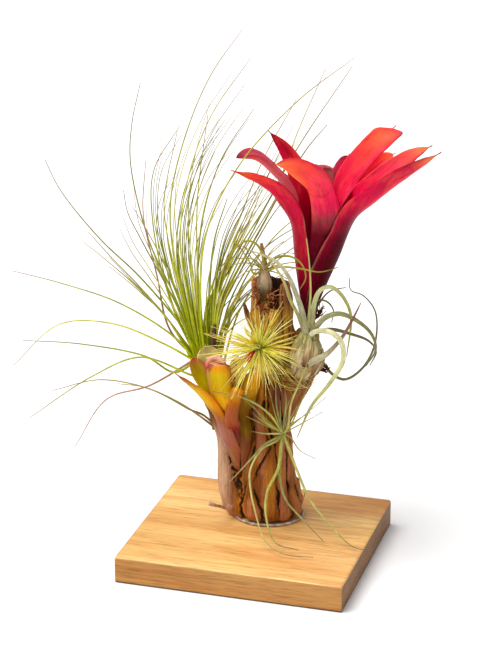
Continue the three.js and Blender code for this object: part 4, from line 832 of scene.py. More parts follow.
# A leaf's stops run from 0 at its root over 1 at the mouth of the cup to 2 at its tip.
# The dark maroon stops up to about 1, on the sheaths round the cup, are partly the leaves' own colour and
# partly painted shade under the overhanging blades.
RED_LOOKS = {
    "left_low": dict(
        top=[(0, "401014"), (0.3, "70101C"), (0.6, "A01428"), (0.9, "B8182E"), (1.2, "C01C34"),
             (1.55, "CC2438"),
             (1.78, "D83A30"), (1.88, "D06028"), (1.95, "E03028"), (2, "8A1828")],
        left=[(0, "501418"), (0.7, "8A1028"), (1.2, "A81838"), (1.6, "C83048"), (2, "A03028")], rim="C0A088"),
    "right_low": dict(
        top=[(0, "400810"), (0.35, "46080E"), (0.65, "4C0810"), (0.9, "580A16"), (1.08, "801026"),
             (1.25, "C81C3A"),
             (1.6, "C82040"), (1.75, "D03440"), (1.88, "E87858"), (1.96, "D87838"), (2, "4A2018")],
        left=[(0, "400E14"), (0.5, "6E0C1C"), (0.9, "920E24"), (1.15, "C81C38"), (1.6, "B01C30"),
              (2, "6A2820")],
        right=[(0, "5A0A14"), (0.8, "660C1A"), (1.08, "7A1024"), (1.22, "8A1834"), (1.42, "D84060"),
               (1.85, "F08890"), (2, "8A4030")],
        rim="C0A088", reach=3.5),
    "back_low": dict(top=[(0, "4A2020"), (1, "A02038"), (1.6, "C03048"), (2, "A85030")]),
    "left_gutter": dict(
        top=[(0, "5A2028"), (0.8, "A83C4A"), (1.2, "CC5660"), (1.6, "E27078"), (1.88, "CC4456"),
             (2, "802030")],
        left=[(0, "802838"), (1.2, "DC7078"), (1.8, "DC6070"), (2, "782838")]),
    "front_curl": dict(
        top=[(0, "480A10"), (0.5, "580C14"), (0.84, "64101A"), (0.97, "84262E"), (1.06, "92343A"),
             (1.12, "C82844"), (1.25, "F0304C"),
             (1.5, "F84850"), (1.72, "F85C48"), (1.88, "F87448"), (1.97, "F89858"), (2, "A03020")],
        left=[(0, "480A10"), (0.84, "701420"), (1.06, "94343A"), (1.15, "C0304C"), (1.3, "F0464C"),
              (1.5, "FA6C48"), (1.8, "FC9050"),
              (2, "A03020")],
        right=[(0, "480A10"), (0.84, "701420"), (1.06, "94343A"), (1.12, "D02044"), (1.3, "F42C50"),
               (1.8, "F44444"), (2, "801820")],
        creases=[1.3]),
    "right_middle": dict(
        top=[(0, "5A2020"), (0.9, "C01830"), (1.2, "EC2844"), (1.6, "F04454"), (1.82, "F46A58"),
             (1.93, "E88048"),
             (2, "6A3018")],
        left=[(0, "5A1820"), (1, "B81434"), (1.6, "E02848"), (2, "903020")]),
    "right_high": dict(
        top=[(0, "5A2020"), (0.9, "B01428"), (1.3, "EC1C38"), (1.75, "F43E44"), (1.92, "F87850"),
             (2, "8A2A18")]),
    "back_left": dict(top=[(0, "4A2020"), (1, "98203A"), (1.7, "B83048"), (2, "B06030")]),
    "back_right": dict(top=[(0, "4A2020"), (1, "98203A"), (1.7, "C03848"), (2, "B06030")]),
    "left_high": dict(
        top=[(0, "5A2020"), (0.9, "A01428"), (1.25, "CC1C34"), (1.6, "D42038"), (1.85, "B82430"),
             (2, "6A1030")],
        left=[(0, "602020"), (1, "B82030"), (1.5, "E85040"), (1.9, "C03030"), (2, "6A1030")]),
    "heart_right": dict(
        top=[(0, "5A2020"), (0.9, "A8203C"), (1.3, "DC2848"), (1.8, "D43048"), (2, "802030")],
        right=[(0, "6A3040"), (1.2, "C0506C"), (1.8, "C04860"), (2, "702838")]),
    "right_tall": dict(
        top=[(0, "6A2024"), (0.9, "C81C38"), (1.15, "EC3048"), (1.4, "F43C48"), (1.65, "FA5A4C"),
             (1.85, "FE7450"),
             (1.97, "F04840"), (2, "C03838")],
        left=[(0, "601828"), (1, "B01850"), (1.3, "D8284C"), (1.6, "E43048"), (1.9, "DC3440"), (2, "901C30")],
        right=[(0, "601828"), (1, "D01C44"), (1.5, "EC3048"), (1.9, "F86048"), (2, "B03038")], reach=1.6),
    "heart_back": dict(
        top=[(0, "5A2028"), (0.9, "903848"), (1.4, "A84858"), (1.85, "B86060"), (2, "6A3038")]),
}
SMALL_LOOKS = {
    "left_low": dict(
        top=[(0, "945C48"), (0.4, "9E6656"), (0.8, "AC6E68"), (1.0, "A86050"), (1.12, "C07C3C"),
             (1.3, "E8B020"),
             (1.6, "E0B820"), (1.8, "C88840"), (1.93, "A05048"), (2, "B86058")],
        left=[(0, "B07468"), (1.0, "C07858"), (1.2, "D8B028"), (1.6, "C8C418"), (1.85, "C8A038"),
              (2, "8A5040")],
        right=[(0, "945C48"), (1.0, "AC6450"), (1.25, "E88C48"), (1.6, "E09050"), (1.9, "B86050"),
               (2, "8A4050")]),
    "front_short": dict(
        top=[(0, "9C6450"), (0.7, "985A4C"), (1.0, "8E4644"), (1.15, "8C4038"), (1.3, "A45848"),
             (1.55, "B06848"),
             (1.74, "E08828"), (1.9, "F09A30"), (2, "C07038")],
        right=[(0, "A06858"), (1.0, "8A4848"), (1.6, "9A4A38"), (1.85, "D08038"), (2, "C07038")]),
    "right_high": dict(
        top=[(0, "986050"), (0.3, "905C48"), (0.55, "8C5440"), (0.75, "8A6A2C"), (0.95, "6E5418"),
             (1.1, "8A5414"), (1.35, "A87818"),
             (1.6, "E0A418"), (1.85, "E8A828"), (2, "9A5A30")],
        left=[(0, "A06050"), (0.6, "80503C"), (1.0, "6A4414"), (1.4, "A07818"), (2, "9A5A30")]),
    "left_high": dict(
        top=[(0, "8A6030"), (0.9, "A89420"), (1.5, "D4C444"), (1.8, "D4BC50"), (1.93, "D88860"),
             (2, "C04C50")],
        under=[(0, "9A5A48"), (0.9, "CCA820"), (1.4, "ECDC64"), (1.75, "F0DC70"), (1.92, "E89068"),
               (2, "C04C50")],
        left=[(0, "9A5048"), (1.2, "D08850"), (1.8, "D88870"), (2, "C04450")], reach=3.5),
    "front_tall": dict(
        top=[(0, "A8605A"), (0.6, "9A5A50"), (0.9, "B87040"), (1.1, "D89030"), (1.35, "E8A828"),
             (1.6, "E8B81C"),
             (1.8, "DCBC1C"), (1.93, "F0A038"), (2, "F8B890")],
        left=[(0, "B07060"), (0.9, "E0A060"), (1.5, "E0A068"), (1.85, "D89090"), (2, "A05858")],
        # the right margin's olive-brown is painted shade on the leaf's shaded right flank
        right=[(0, "9A6048"), (0.9, "A07018"), (1.4, "8A5A18"), (1.85, "C88030"), (2, "8A4A40")], reach=3.2),
    "back_left": dict(
        top=[(0, "8A7040"), (0.9, "C8C460"), (1.4, "F0EC84"), (1.85, "FFF8B0"), (2, "C0A878")]),
    "heart_right": dict(top=[(0, "8A5030"), (0.9, "B86030"), (1.5, "D07040"), (1.9, "C86840"), (2, "7A3028")]),
    "back_right": dict(top=[(0, "7A6020"), (0.9, "B09838"), (1.6, "DCD078"), (1.85, "EADCA0"), (2, "8A6030")]),
}
HEART_TINTS = {"red_bromeliad": [(0, "5A2A20"), (1, "A02030")],
               "small_bromeliad": [(0, "5A2A20"), (1, "8A7A28")]}
LEAF_SLOTS = {
    "red_bromeliad": dict(core="red_cup", leaf="red_leaf", front_curl="orange_leaf", right_tall="orange_leaf",
                          left_gutter="pink_leaf", heart_back="pink_leaf"),
    "small_bromeliad": dict(core="olive_leaf", leaf="yellow_leaf", left_high="olive_leaf",
                            back_left="olive_leaf", back_right="olive_leaf", front_short="orange_leaf"),
}


def rosette_pieces(plant, rosette, leaves, looks, material):
    """The closed heart and the strap leaves of a tank plant."""
    slots = LEAF_SLOTS[plant]
    core = Skin()
    core.tube(rosette["core"]["path"], rosette["core"]["radii"], HEART_TINTS[plant], 16, 2.0)
    core.shown(f"{plant}_heart", material, f"{plant}_core", slots["core"])
    for seed, leaf in enumerate(leaves, 40):
        name = leaf["name"]
        skin = Skin()
        skin.add_rings(*strap_leaf(rosette, leaf, looks[name], seed))
        skin.shown(f"{plant}_strap_{name}", material, f"{plant}_leaf_{name}", slots.get(name, slots["leaf"]))


# The mouth's last, darker stop is painted shade in the rolled opening at its top.
ROLLED_MOUTH = dict(path=[[-25.5, 3, 120], [-26.3, 2.6, 128], [-26.4, 1.8, 134.6]], radii=[4.2, 5.2, 5.6],
                    tints=[(0, "A08020"), (0.8, "C88058"), (0.97, "D88880"), (1, "B05C58")])
ROLLED_RIM = dict(path=[[-32, -2.5, 131.6], [-30.6, 0, 134], [-28, 2.5, 135.6], [-23.8, 2.2, 135.4],
                        [-21, -0.4, 134], [-19.8, -3, 131.6]],
                  radii=[0.9, 2.1, 2.3, 2.1, 1.7, 0.7],
                  tints=[(0, "C85A58"), (0.3, "E8A098"), (0.6, "F4C0B0"), (1, "D07860")])


def rolled_lip(material):
    """The pink curled-over mouth behind the tallest leaf of the small rosette."""
    skin = Skin()
    skin.tube(*ROLLED_MOUTH.values(), 24, 1.5)
    skin.tube(*ROLLED_RIM.values(), 12, 0.8)
    skin.shown("small_bromeliad_rolled_lip", material, "small_bromeliad_leaf_front_tall", "yellow_leaf")


# ---- trunk --------------------------------------------------------------------------------------
CREVICE_HEIGHTS = [20, 31, 48, 63, 73, 84, 100, 114, 140, 184]
CREVICES = [  # turn round the trunk, in degrees, at each of those heights
    [-70, -69, -68, -68, -72, -90, -97, -97, -99, -100],
    [-40, -42, -43, -37, -40, -50, -56, -60, -60, -50],
    [-10, -12, -14, -10, -14, -18, -22, -24, -24, -26],
    [30, 26, 20, 26, 26, 22, 18, 14, 14, 12],
    [66, 68, 64, 60, 64, 58, 54, 56, 56, 54],
    [104, 100, 102, 104, 96, 96, 100, 98, 100, 104],
    [140, 146, 138, 132, 138, 142, 138, 140, 144, 150],
    [176, 180, 176, 170, 176, 172, 174, 176, 180, 184],
    [-155, -152, -139, -132, -130, -148, -156, -160, -152, -148],
    [-104, -107, -124, -101, -86, -103, -109, -110, -114, -128],
]
LOBE_TOPS = [166, 182, 183, 181, 182, 182, 183, 181, 185, 173]  # where the stem after each crevice ends
LOBE_SIDES = 22
FILLER = dict(share=0.7, foot=20.3, top=160, rows=16, sides=24)  # closes the middle, below the hollow top
TRUNK_FOOT = 20.2
VOXEL = 0.62
CREVICE_DEPTH, SEAM_DEPTH = 2.0, 1.6
TORN_SEAM = dict(top=[-18.5, 72], foot=[-9.5, 33])  # x and height of its ends
BARK_STOPS = [(18, "C0884E"), (45, "B27C4A"), (80, "98622E"), (115, "8E5E26"), (132, "D0AC54"),
              (162, "E0B860"), (172, "D8A074"), (185, "F0B48C")]  # by height


def trunk_section(z):
    """x and y of the trunk's middle at a height, and its half width and half depth."""
    return [np.interp(z, TRUNK_SECTIONS[:, 0], TRUNK_SECTIONS[:, k]) for k in range(1, 5)]


def trunk_lobe(skin, index):
    """One fused stem of the trunk, between two crevices."""
    first, after = CREVICES[index], CREVICES[(index + 1) % len(CREVICES)]
    after = [b + 360 if b < a - 90 else b for a, b in zip(first, after)]
    top = LOBE_TOPS[index]
    around = np.arange(LOBE_SIDES) * 2 * math.pi / LOBE_SIDES
    rings = []
    for z in np.append(np.linspace(TRUNK_FOOT, top - 1.5, 40), top):
        x, y, rx, ry = trunk_section(z)
        a, b = (math.radians(np.interp(z, CREVICE_HEIGHTS, turns)) for turns in (first, after))
        turn, half = (a + b) / 2, max((b - a) / 2, 0.05)
        reach = rx * ry / math.hypot(ry * math.cos(turn), rx * math.sin(turn))
        reach *= 1 + 0.035 * waves(z, 34, index) + 0.02 * waves(z, 11, index + 50)
        snug = mix(1.03, 1.2, float(smooth((z - 112) / 20) * smooth((166 - z) / 6)))
        wide = reach * math.sin(half) * snug
        deep = min(wide, reach * mix(0.42, 0.24, float(smooth((z - 154) / 10))))
        close = 0.8 if z == top else 1
        radial = (reach - deep) + np.cos(around) * deep * close
        aside = np.sin(around) * wide * close
        broken = 1.6 * np.cos(around + index) * (z > top - 2)
        rings.append(np.stack([x + radial * math.cos(turn) - aside * math.sin(turn),
                               y + radial * math.sin(turn) + aside * math.cos(turn), z + broken], -1))
    add_plain(skin, np.array(rings))


def add_plain(skin, rings):
    """Rings with a blank skin, whose tint is made later, once the trunk is one mesh."""
    rows, sides = rings.shape[:2]
    skin.add_rings(rings, np.ones((rows, sides, 4)), np.zeros((rows, sides + 1)), np.zeros(rows))


def trunk_filler(skin):
    around = np.arange(FILLER["sides"]) * 2 * math.pi / FILLER["sides"]
    rings = []
    for z in np.linspace(FILLER["foot"], FILLER["top"], FILLER["rows"]):
        x, y, rx, ry = trunk_section(z)
        rings.append(np.stack([x + rx * FILLER["share"] * np.cos(around),
                               y + ry * FILLER["share"] * np.sin(around), np.full(FILLER["sides"], z)], -1))
    add_plain(skin, np.array(rings))


def limb(skin, table, sides=20):
    """A broken branch: a stem with a few shallow flutes."""
    line = dense_route(table["path"])
    share = np.linspace(0, 1, int(arc_lengths(line)[-1] / 1.6))
    turn = np.arange(sides) * 2 * math.pi / sides
    flutes = 0.07 * np.sin(turn * 5 + share[:, None] * 3) + 0.03 * waves(share * 40, 9, 4)[:, None]
    radius = spread(table["radii"], share)[:, None] * (1 + flutes)
    radius[-1] *= 0.8
    add_plain(skin, round_rings(*read_route(line, share), radius, sides))


def remeshed(mesh):
    """The outer skin of overlapping closed solids, as one even mesh."""
    carrier = linked("carrier", mesh)
    modifier = carrier.modifiers.new("Skin", "REMESH")
    modifier.mode, modifier.voxel_size = "VOXEL", VOXEL * MM
    softened = carrier.modifiers.new("Soften", "SMOOTH")
    softened.factor, softened.iterations = 0.5, 2
    return finished(carrier)


def bark_height(local):
    """Fibres, strands, lumps and cracks of the bark, in millimetres."""
    crack = np.abs(lumps(local, (4.2, 4.2, 30), 50))
    return (0.3 * lumps(local, (1.9, 1.9, 26)) + 0.14 * lumps(local, (0.95, 0.95, 13), 30)
            + 0.8 * lumps(local, (7, 7, 16), 9) - 0.3 * np.maximum(0, 1 - crack / 0.08))


def trunk_share(points):
    """How far out points lie from the trunk's middle, where 1 is its surface."""
    x, y, rx, ry = trunk_section(points[:, 2])
    return np.hypot((points[:, 0] - x) / rx, (points[:, 1] - y) / ry)


def limb_share(points, table, steps):
    """How far out points lie from a limb's middle line, where 1 is its surface."""
    line = dense_route(table["path"], steps)
    radii = spread(table["radii"], np.linspace(0, 1, len(line)))
    gap = np.linalg.norm(points[:, None] - line[None], axis=2)
    near = gap.argmin(1)
    return gap[np.arange(len(points)), near] / radii[near]


def crevice_share(points):
    """1 along the crevices between the stems of the trunk, 0 away from them and on the limbs."""
    z = points[:, 2]
    x, y, rx, _ = trunk_section(z)
    turn = np.degrees(np.arctan2(points[:, 1] - y, points[:, 0] - x))
    best = np.zeros(len(z))
    for index, turns in enumerate(CREVICES):
        wander = 1.6 * waves(z, 21, index + 70) + 0.5 * waves(z, 6, index + 90)
        away = (turn - np.interp(z, CREVICE_HEIGHTS, turns) - wander + 180) % 360 - 180
        gape = (0.42 + 0.5 * waves(z, 38, index + 30)) * mix(1, 0.35, smooth((z - 118) / 14))
        cut = np.exp(-(np.radians(away) * rx / np.maximum(gape, 0.22))**2)
        best = np.maximum(best, cut * smooth((gape + 0.15) / 0.4))
    outward = trunk_share(points)
    return best * smooth((outward - 0.55) / 0.2) * smooth((1.16 - outward) / 0.08)


def outerness(points):
    """1 on the outside of the trunk or a limb, less in the crevices."""
    best = trunk_share(points)
    for table in LIMBS:
        share = limb_share(points, table, 8)
        best = np.maximum(best, np.where(share < 1.25, share, 0))
    return best


def junction(local):
    """1 where the left root meets the trunk, where the bark gets painted shade."""
    away = (trunk_share(local) - 1.02)**2 + (0.5 * (limb_share(local, LEFT_STUB, 12) - 1.04))**2
    return np.exp(-away / 0.004)


def torn_seam(local):
    """1 in the holes of the lacy seam that runs down beside the small rosette's foot."""
    x, y, z = local.T
    (top_x, top), (foot_x, foot) = TORN_SEAM["top"], TORN_SEAM["foot"]
    fall = np.clip((top - z) / (top - foot), 0, 1)
    seam = mix(top_x, foot_x, fall) + 0.8 * waves(z, 12, 4)
    wide = mix(1.0, 2.3, np.sin(fall * math.pi))
    lace = smooth(0.62 + 1.9 * lumps(local, (1.5, 3, 2.6)))
    ends = smooth((top + 4 - z) / 5) * smooth((z - foot + 4) / 5)
    return np.exp(-((x - seam) / wide)**2) * lace * (y < 20) * ends


def bark_tints(local, normals, height, crevice):
    """Bark colours by height, with patches, a blush, paler stubs and broken top, and painted shade: near black
    in the crevices, where the left root meets the trunk, in the holes of the torn seam and in the bark's low
    spots.
    """
    x, _, z = local.T
    patches, blush = lumps(local, (9, 9, 26)), lumps(local, (7, 7, 30), 20)
    torn = smooth(0.5 + 1.6 * lumps(local, (3, 3, 7)))
    cleft = np.maximum(crevice, junction(local) * torn * smooth((z - 30) / 14))
    cleft = np.maximum(cleft, torn_seam(local))
    # painted shade: how near black each point is painted, in the crevices, off the outer surface, along the
    # root's join and in the seam's holes
    dark = np.maximum(smooth((0.84 - outerness(local)) / 0.2), smooth(cleft * 1.25))
    tints = read_stops(BARK_STOPS, z)
    for colour, share in (
            ("C08C4C", np.clip(patches * 1.6, 0, 0.8)),
            ("6E4222", np.clip(-patches * 1.5, 0, 0.7)),
            ("BC8470", np.clip(blush * 1.7, 0, 0.65) * smooth((120 - z) / 20)),
            ("D4B8A4", 0.85 * smooth((-13 - x) / 8) * smooth((92 - z) / 20)),  # the left root
            ("6E5C4A", 0.9 * smooth((-4.5 - x) / 1.5) * smooth((z - 143) / 5)),  # the side stick
            ("A87A60", 0.6 * smooth((x - 20) / 6) * smooth((z - 95) / 15)),  # the right stub
            ("D09C70", 0.8 * smooth((normals[:, 2] - 0.5) / 0.3) * smooth((z - 168) / 5)),  # the broken top
            # painted shade in the crevices, the root's join and the seam's holes
            ("1E0F05", 0.95 * dark),
            # painted shade in the low spots of the bark's relief
            ("2A1608", np.clip(-height - 0.25, 0, 0.6))):
        tints = mix(tints, np.array(linear(colour)), share[:, None])
    return tints


def trunk_piece(material):
    """The fused stems and limbs of the trunk in one skin, with bark, crevices and the torn seam in it."""
    skin = Skin()
    for index in range(len(CREVICES)):
        trunk_lobe(skin, index)
    trunk_filler(skin)
    for table in LIMBS:
        limb(skin, table)
    mesh = remeshed(skin.mesh("trunk_solids"))
    co, normals = read_vertices(mesh, "co"), read_vertices(mesh, "normal")
    local = placed_back(co)
    crevice = crevice_share(local)
    height = bark_height(local) - CREVICE_DEPTH * crevice - SEAM_DEPTH * torn_seam(local)
    off_board = np.clip((local[:, 2] - 19.5) / 3, 0, 1)
    mesh.vertices.foreach_set("co", (co + normals * (height * off_board * MM)[:, None]).ravel())
    paint(mesh, bark_tints(local, normals, height, crevice))
    mesh.shade_smooth()
    mesh.update()
    shown(mesh, "trunk_wood", material, "trunk", "bark")


# ---- rush-like plant ----------------------------------------------------------------------------
RUSH_TINTS = [
    [(0, "D0DC28"), (0.14, "C6CE34"), (0.4, "B4B644"), (0.75, "A6A244"), (0.93, "94744C"), (1, "B88878")],
    [(0, "D8E028"), (0.15, "D4D644"), (0.45, "DCD868"), (0.8, "C4BC58"), (0.95, "A88060"), (1, "B89078")],
    [(0, "BCCC20"), (0.2, "A6B030"), (0.5, "949838"), (0.85, "807C34"), (1, "7A5048")],
]
DRY_TINTS = [(0, "A87A60"), (0.4, "B08070"), (0.8, "B88A78"), (1, "905A50")]
LOW_TINTS = [(0, "8A6A48"), (0.3, "A08A50"), (0.7, "A8A040"), (1, "8A7040")]
LOW_ROOT = [-22, 22, 76]
RUSH_RADII, RUSH_SQUASH = [1.25, 1.0, 0.82, 0.65, 0.48, 0.28], 0.7
RUSH_BETWEEN = dict(left=-95, count=44, tries=150, room=1.2, length=[0.62, 0.97], seed=14,
                    radii=[0.99, 0.765, 0.63, 0.495, 0.36, 0.216])
RUSH_RIGHT = dict(root=[-28, 29, 126], low=[-3, 25, 160], high=[-9, 34, 238], count=13, room=0.9, seed=21,
                  radii=[0.9, 0.8, 0.65, 0.5, 0.24])
BROWN_SHEATH = dict(path=[[-29, 29, 126], [-28, 28, 138], [-27, 27, 150]], radii=[2.6, 2.2, 0.8],
                    tints=[(0, "4A3420"), (1, "6E4C3A")])
STEM_TINTS = [(0, "7A5A38"), (0.5, "8A7A30"), (1, "8A9428")]


def seeded(seed):
    """Numbers from 0 to 1 by the rule that also strews the solid leaves."""
    state = seed * 2654435761 % 2**32
    while True:
        state = (state * 1664525 + 1013904223) % 2**32
        yield state / 2**32


def node_tree(prefixes):
    """The surfaces of the CAD nodes whose names start so, for keeping clear of them."""
    points, faces = [], []
    for name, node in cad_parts.items():
        if name.startswith(prefixes):
            start = len(points)
            points += [v.co.copy() for v in node.data.vertices]
            faces += [[start + i for i in face.vertices] for face in node.data.polygons]
    return BVHTree.FromPolygons(points, faces)


def clear(path, tree, room):
    """Whether a route keeps this far, in millimetres, from the surfaces of a tree."""
    line = place(read_route(dense_route(path), np.linspace(0, 1, 60))[0])
    return all(tree.find_nearest(Vector(point), room * MM)[0] is None for point in line)


def rush_root(share, toward):
    """A point of the stem, moved towards where its leaf heads."""
    (x, y, z), = read_route(dense_route(RUSH_STEM["path"]), [share])[0]
    aside, behind = (np.clip(offset * side["share"], -side["most"], side["most"])
                     for offset, side in ((toward[0] - x, RUSH_STEM["aside"]),
                                          (toward[1] - y, RUSH_STEM["behind"])))
    return [x + aside, y + behind, z]


def strewn_route(random):
    """The route of a leaf strewn behind the main ones."""
    fill = RUSH_FILL
    lean, back, length, bow = (mix(*fill[key], next(random)) for key in ("lean", "back", "length", "bow"))
    x, y, z = fill["foot"]
    return [[x + length * s * (lean + bow * s), y + length * s * back,
             z + length * s * fill["rise"] * (1 - fill["droop"] * s * s)] for s in (0.3, 0.62, 1)]


def right_fan():
    """Routes of the fine leaves that lean from the left fork towards the top of the trunk."""
    rng = np.random.default_rng(RUSH_RIGHT["seed"])
    root, low, high = (np.array(RUSH_RIGHT[key], float) for key in ("root", "low", "high"))
    for share in np.linspace(0, 1, RUSH_RIGHT["count"]):
        end = mix(low, high, share) + rng.normal(0, 2.2, 3)
        bow = np.array([-2 - 5 * share, 0, 5])
        yield np.array([root + (end - root) * at + bow * math.sin(math.pi * at)
                        for at in (0.22, 0.45, 0.7, 1)])


def between_route(random):
    """A finer leaf whose route lies between those of two neighbouring ones."""
    order = sorted(RUSH_ROUTES, key=lambda route: route[-1][0] + 0.001 * route[-1][2])
    seat = next(random) * (len(order) - 1.001)
    low, high = (read_route(dense_route(order[int(seat) + k]), np.linspace(0, 1, 5))[0] for k in (0, 1))
    drift = (next(random) - 0.5) * np.linspace(0, 12, 5)[:, None] * np.array([[0.6, 1.0, -0.5]])
    route = mix(low, high, seat % 1) + drift
    return route[0] + (route - route[0]) * mix(*RUSH_BETWEEN["length"], next(random))


def rush_piece(material):
    """The rush-like plant: main leaves, strewn ones behind them, and finer ones between and to the right."""
    tree = node_tree(("trunk", "red_bromeliad", "small_bromeliad"))
    skin, tuft = Skin(), RUSH_STEM["tuft"]
    leaves = [(route, mix(*tuft, (i % 6) / 5)) for i, route in enumerate(RUSH_ROUTES + DRY_RUSH_ROUTES)]
    leaves += [(route, RUSH_STEM["low"]) for route in LOW_RUSH_ROUTES]
    tints = [RUSH_TINTS[i % 3] for i in range(len(RUSH_ROUTES))] + [DRY_TINTS] * 2 + [LOW_TINTS] * 2
    random, most = seeded(RUSH_FILL["seed"]), len(leaves) + RUSH_FILL["count"]
    for _ in range(RUSH_FILL["tries"]):
        route, share = strewn_route(random), mix(*tuft, next(random))
        if len(leaves) < most and clear(route, tree, RUSH_FILL["room"]):
            tints.append(RUSH_TINTS[len(leaves) % 3])
            leaves.append((route, share))
    for (route, share), stops in zip(leaves, tints):
        root = LOW_ROOT if share == RUSH_STEM["low"] else rush_root(share, route[0])
        skin.tube([root] + route, RUSH_RADII, stops, 7, 3.2, RUSH_SQUASH)
    rule, finer = RUSH_BETWEEN, 0
    random = seeded(rule["seed"])
    for _ in range(rule["tries"]):
        route, share = between_route(random), mix(*tuft, next(random))
        if finer < rule["count"] and route[-1][0] > rule["left"] and clear(route, tree, rule["room"]):
            finer += 1
            path = [rush_root(share, route[0]), *route]
            skin.tube(path, rule["radii"], RUSH_TINTS[finer % 3], 6, 4, RUSH_SQUASH)
    rule = RUSH_RIGHT
    for i, route in enumerate(right_fan()):
        if clear(route, tree, rule["room"]):
            skin.tube([rule["root"], *route], rule["radii"], RUSH_TINTS[i % 3], 6, 4, RUSH_SQUASH)
    skin.tube(*BROWN_SHEATH.values(), 9, 1.5)
    skin.tube(RUSH_STEM["path"], RUSH_STEM["radii"], STEM_TINTS, 14, 2.5)
    skin.shown("rush_leaves", material, "rush_air_plant", "rush")


# ---- curly plants -------------------------------------------------------------------------------
def fine_curls(heart, rule):
    """Hair-thin leaves that fan out from a heart: turn is measured from upright, in degrees."""
    rng = np.random.default_rng(rule["seed"])
    curls = []
    for index in range(rule["count"]):
        turn = math.radians(mix(*rule["turn"], (index + rng.uniform(0.1, 0.9)) / rule["count"]))
        length, depth = rng.uniform(*rule["length"]), rng.uniform(*rule["depth"])
        bend = math.radians(rule["bend"]) * rng.uniform(-0.4, 1) * (1 if turn > 0 else -1)
        route, at = [], np.array(heart, float)
        for step in range(4):
            heading = turn + bend * step / 2
            at = at + np.array([math.sin(heading), depth / length, math.cos(heading)]) * length / 4
            route.append(at.tolist())
        curls.append([route, rule["root"]])
    return curls


def curl_radii(root, flare):
    return [root * flare, root * (0.7 + 0.3 * flare), root * 0.9, root * 0.72, root * 0.5, 0.3]


def curly_piece(plant, leaf, bulb_skin):
    """The tapering leaves that curl away from a plant's heart, and its bulb wrapped in overlapping scales."""
    skin = Skin()
    curls = plant["curls"] + (fine_curls(plant["heart"], plant["fine"]) if "fine" in plant else [])
    for i, (route, root) in enumerate(curls):
        start, flare = plant["starts"].get(i, (plant["heart"], plant["flare"]))
        radii = [radius * plant["thicker"] for radius in curl_radii(root, flare)]
        skin.tube([start] + route, radii, plant["tints"][i % len(plant["tints"])], 10, 2.0)
    skin.shown(plant["name"] + "_leaves", leaf, plant["node"], plant["slot"])
    skin = Skin()
    rings = skin.tube(plant["path"], plant["radii"], plant["bulb_tints"], 40, BULB_STEP)
    rows, sides = rings.shape[:2]
    centre = rings.mean(1, keepdims=True)
    lap_length, lap_count = plant["laps"]
    r, i = np.meshgrid(np.arange(rows), np.arange(sides), indexing="ij")
    lap = ((r * BULB_STEP / lap_length + i * lap_count / sides) % 1.0)[..., None]
    fine = waves(i * 360 / sides, 26, 8)[..., None]
    raised = 1 + plant["scales"] * (0.5 - lap + 0.12 * fine)
    skin.points[-1] = (centre + (rings - centre) * raised).reshape(-1, 3)
    # painted shade: the tints darken along each seam where one scale laps over the next; the fine waves vary
    # the tone
    seam = np.maximum(smooth((lap - 0.8) / 0.2), smooth((0.06 - lap) / 0.06))
    shade = (1.08 + 0.22 * fine) * (1 - 0.62 * seam)
    skin.tints[-1] = (skin.tints[-1].reshape(rows, sides, 4) * shade).reshape(-1, 4)
    skin.shown(plant["name"] + "_bulb", bulb_skin, plant["node"], plant["slot"])


def bulb_scales(material):
    """Dry papery leaf bases that lap over one another round the silver plant's bulb."""
    skin = Skin()
    line = dense_route(SILVER_PLANT["path"])
    rows, sides = 26, 20
    along = np.linspace(0, 1, rows)
    turns = np.arange(sides) * 2 * math.pi / sides
    bulge, flat = np.cos(turns)[None, :, None], np.zeros(rows)
    across = (np.arange(sides + 1) / sides * 20)[None] * np.ones((rows, 1))
    for index, (turn, low, high, lift) in enumerate(BULB_SCALES):
        share = np.linspace(low, high, rows)
        centre, _ = read_route(line, share)
        radius = spread(SILVER_PLANT["radii"], share)
        lean = math.radians(turn) + 0.25 * along
        outward, tangent = (np.stack([a, b, flat], -1)[:, None]
                            for a, b in ((np.cos(lean), np.sin(lean)), (-np.sin(lean), np.cos(lean))))
        width = (radius * 0.5 * (1 - along**3 * 0.55) * (1 - (1 - along)**6 * 0.6))[:, None, None]
        bend = 0.42 * width * np.abs(bulge)**2
        seat = (radius * 0.97 + lift)[:, None, None]
        rings = (centre[:, None] + outward * (seat - bend + 0.45 * np.sin(turns)[None, :, None])
                 + tangent * width * bulge)
        tints = np.repeat(read_stops(SCALE_TINTS[index % 2], along)[:, None], sides, 1)
        # painted shade: each scale darkens towards its sides, where they tuck in against the bulb
        skin.add_rings(rings, tints * (1 - 0.6 * np.abs(bulge)**5), across, share * 36)
    skin.shown("silver_plant_scales", material, "silver_air_plant", "silver")


# ---- needle plant -------------------------------------------------------------------------------
NEEDLE_TINTS = [(0, "A0A02C"), (0.12, "C8CC38"), (0.45, "E8E458"), (0.75, "ECE278"), (1, "D8C070")]
NEEDLE_CORE_TINTS = [(0, "7A5A38"), (0.5, "7A7A30"), (1, "6A7A20")]
PETAL_TINTS = [(0, "A01018"), (0.6, "C81420"), (1, "E02830")]
GOLDEN_ANGLE = math.pi * (3 - math.sqrt(5))


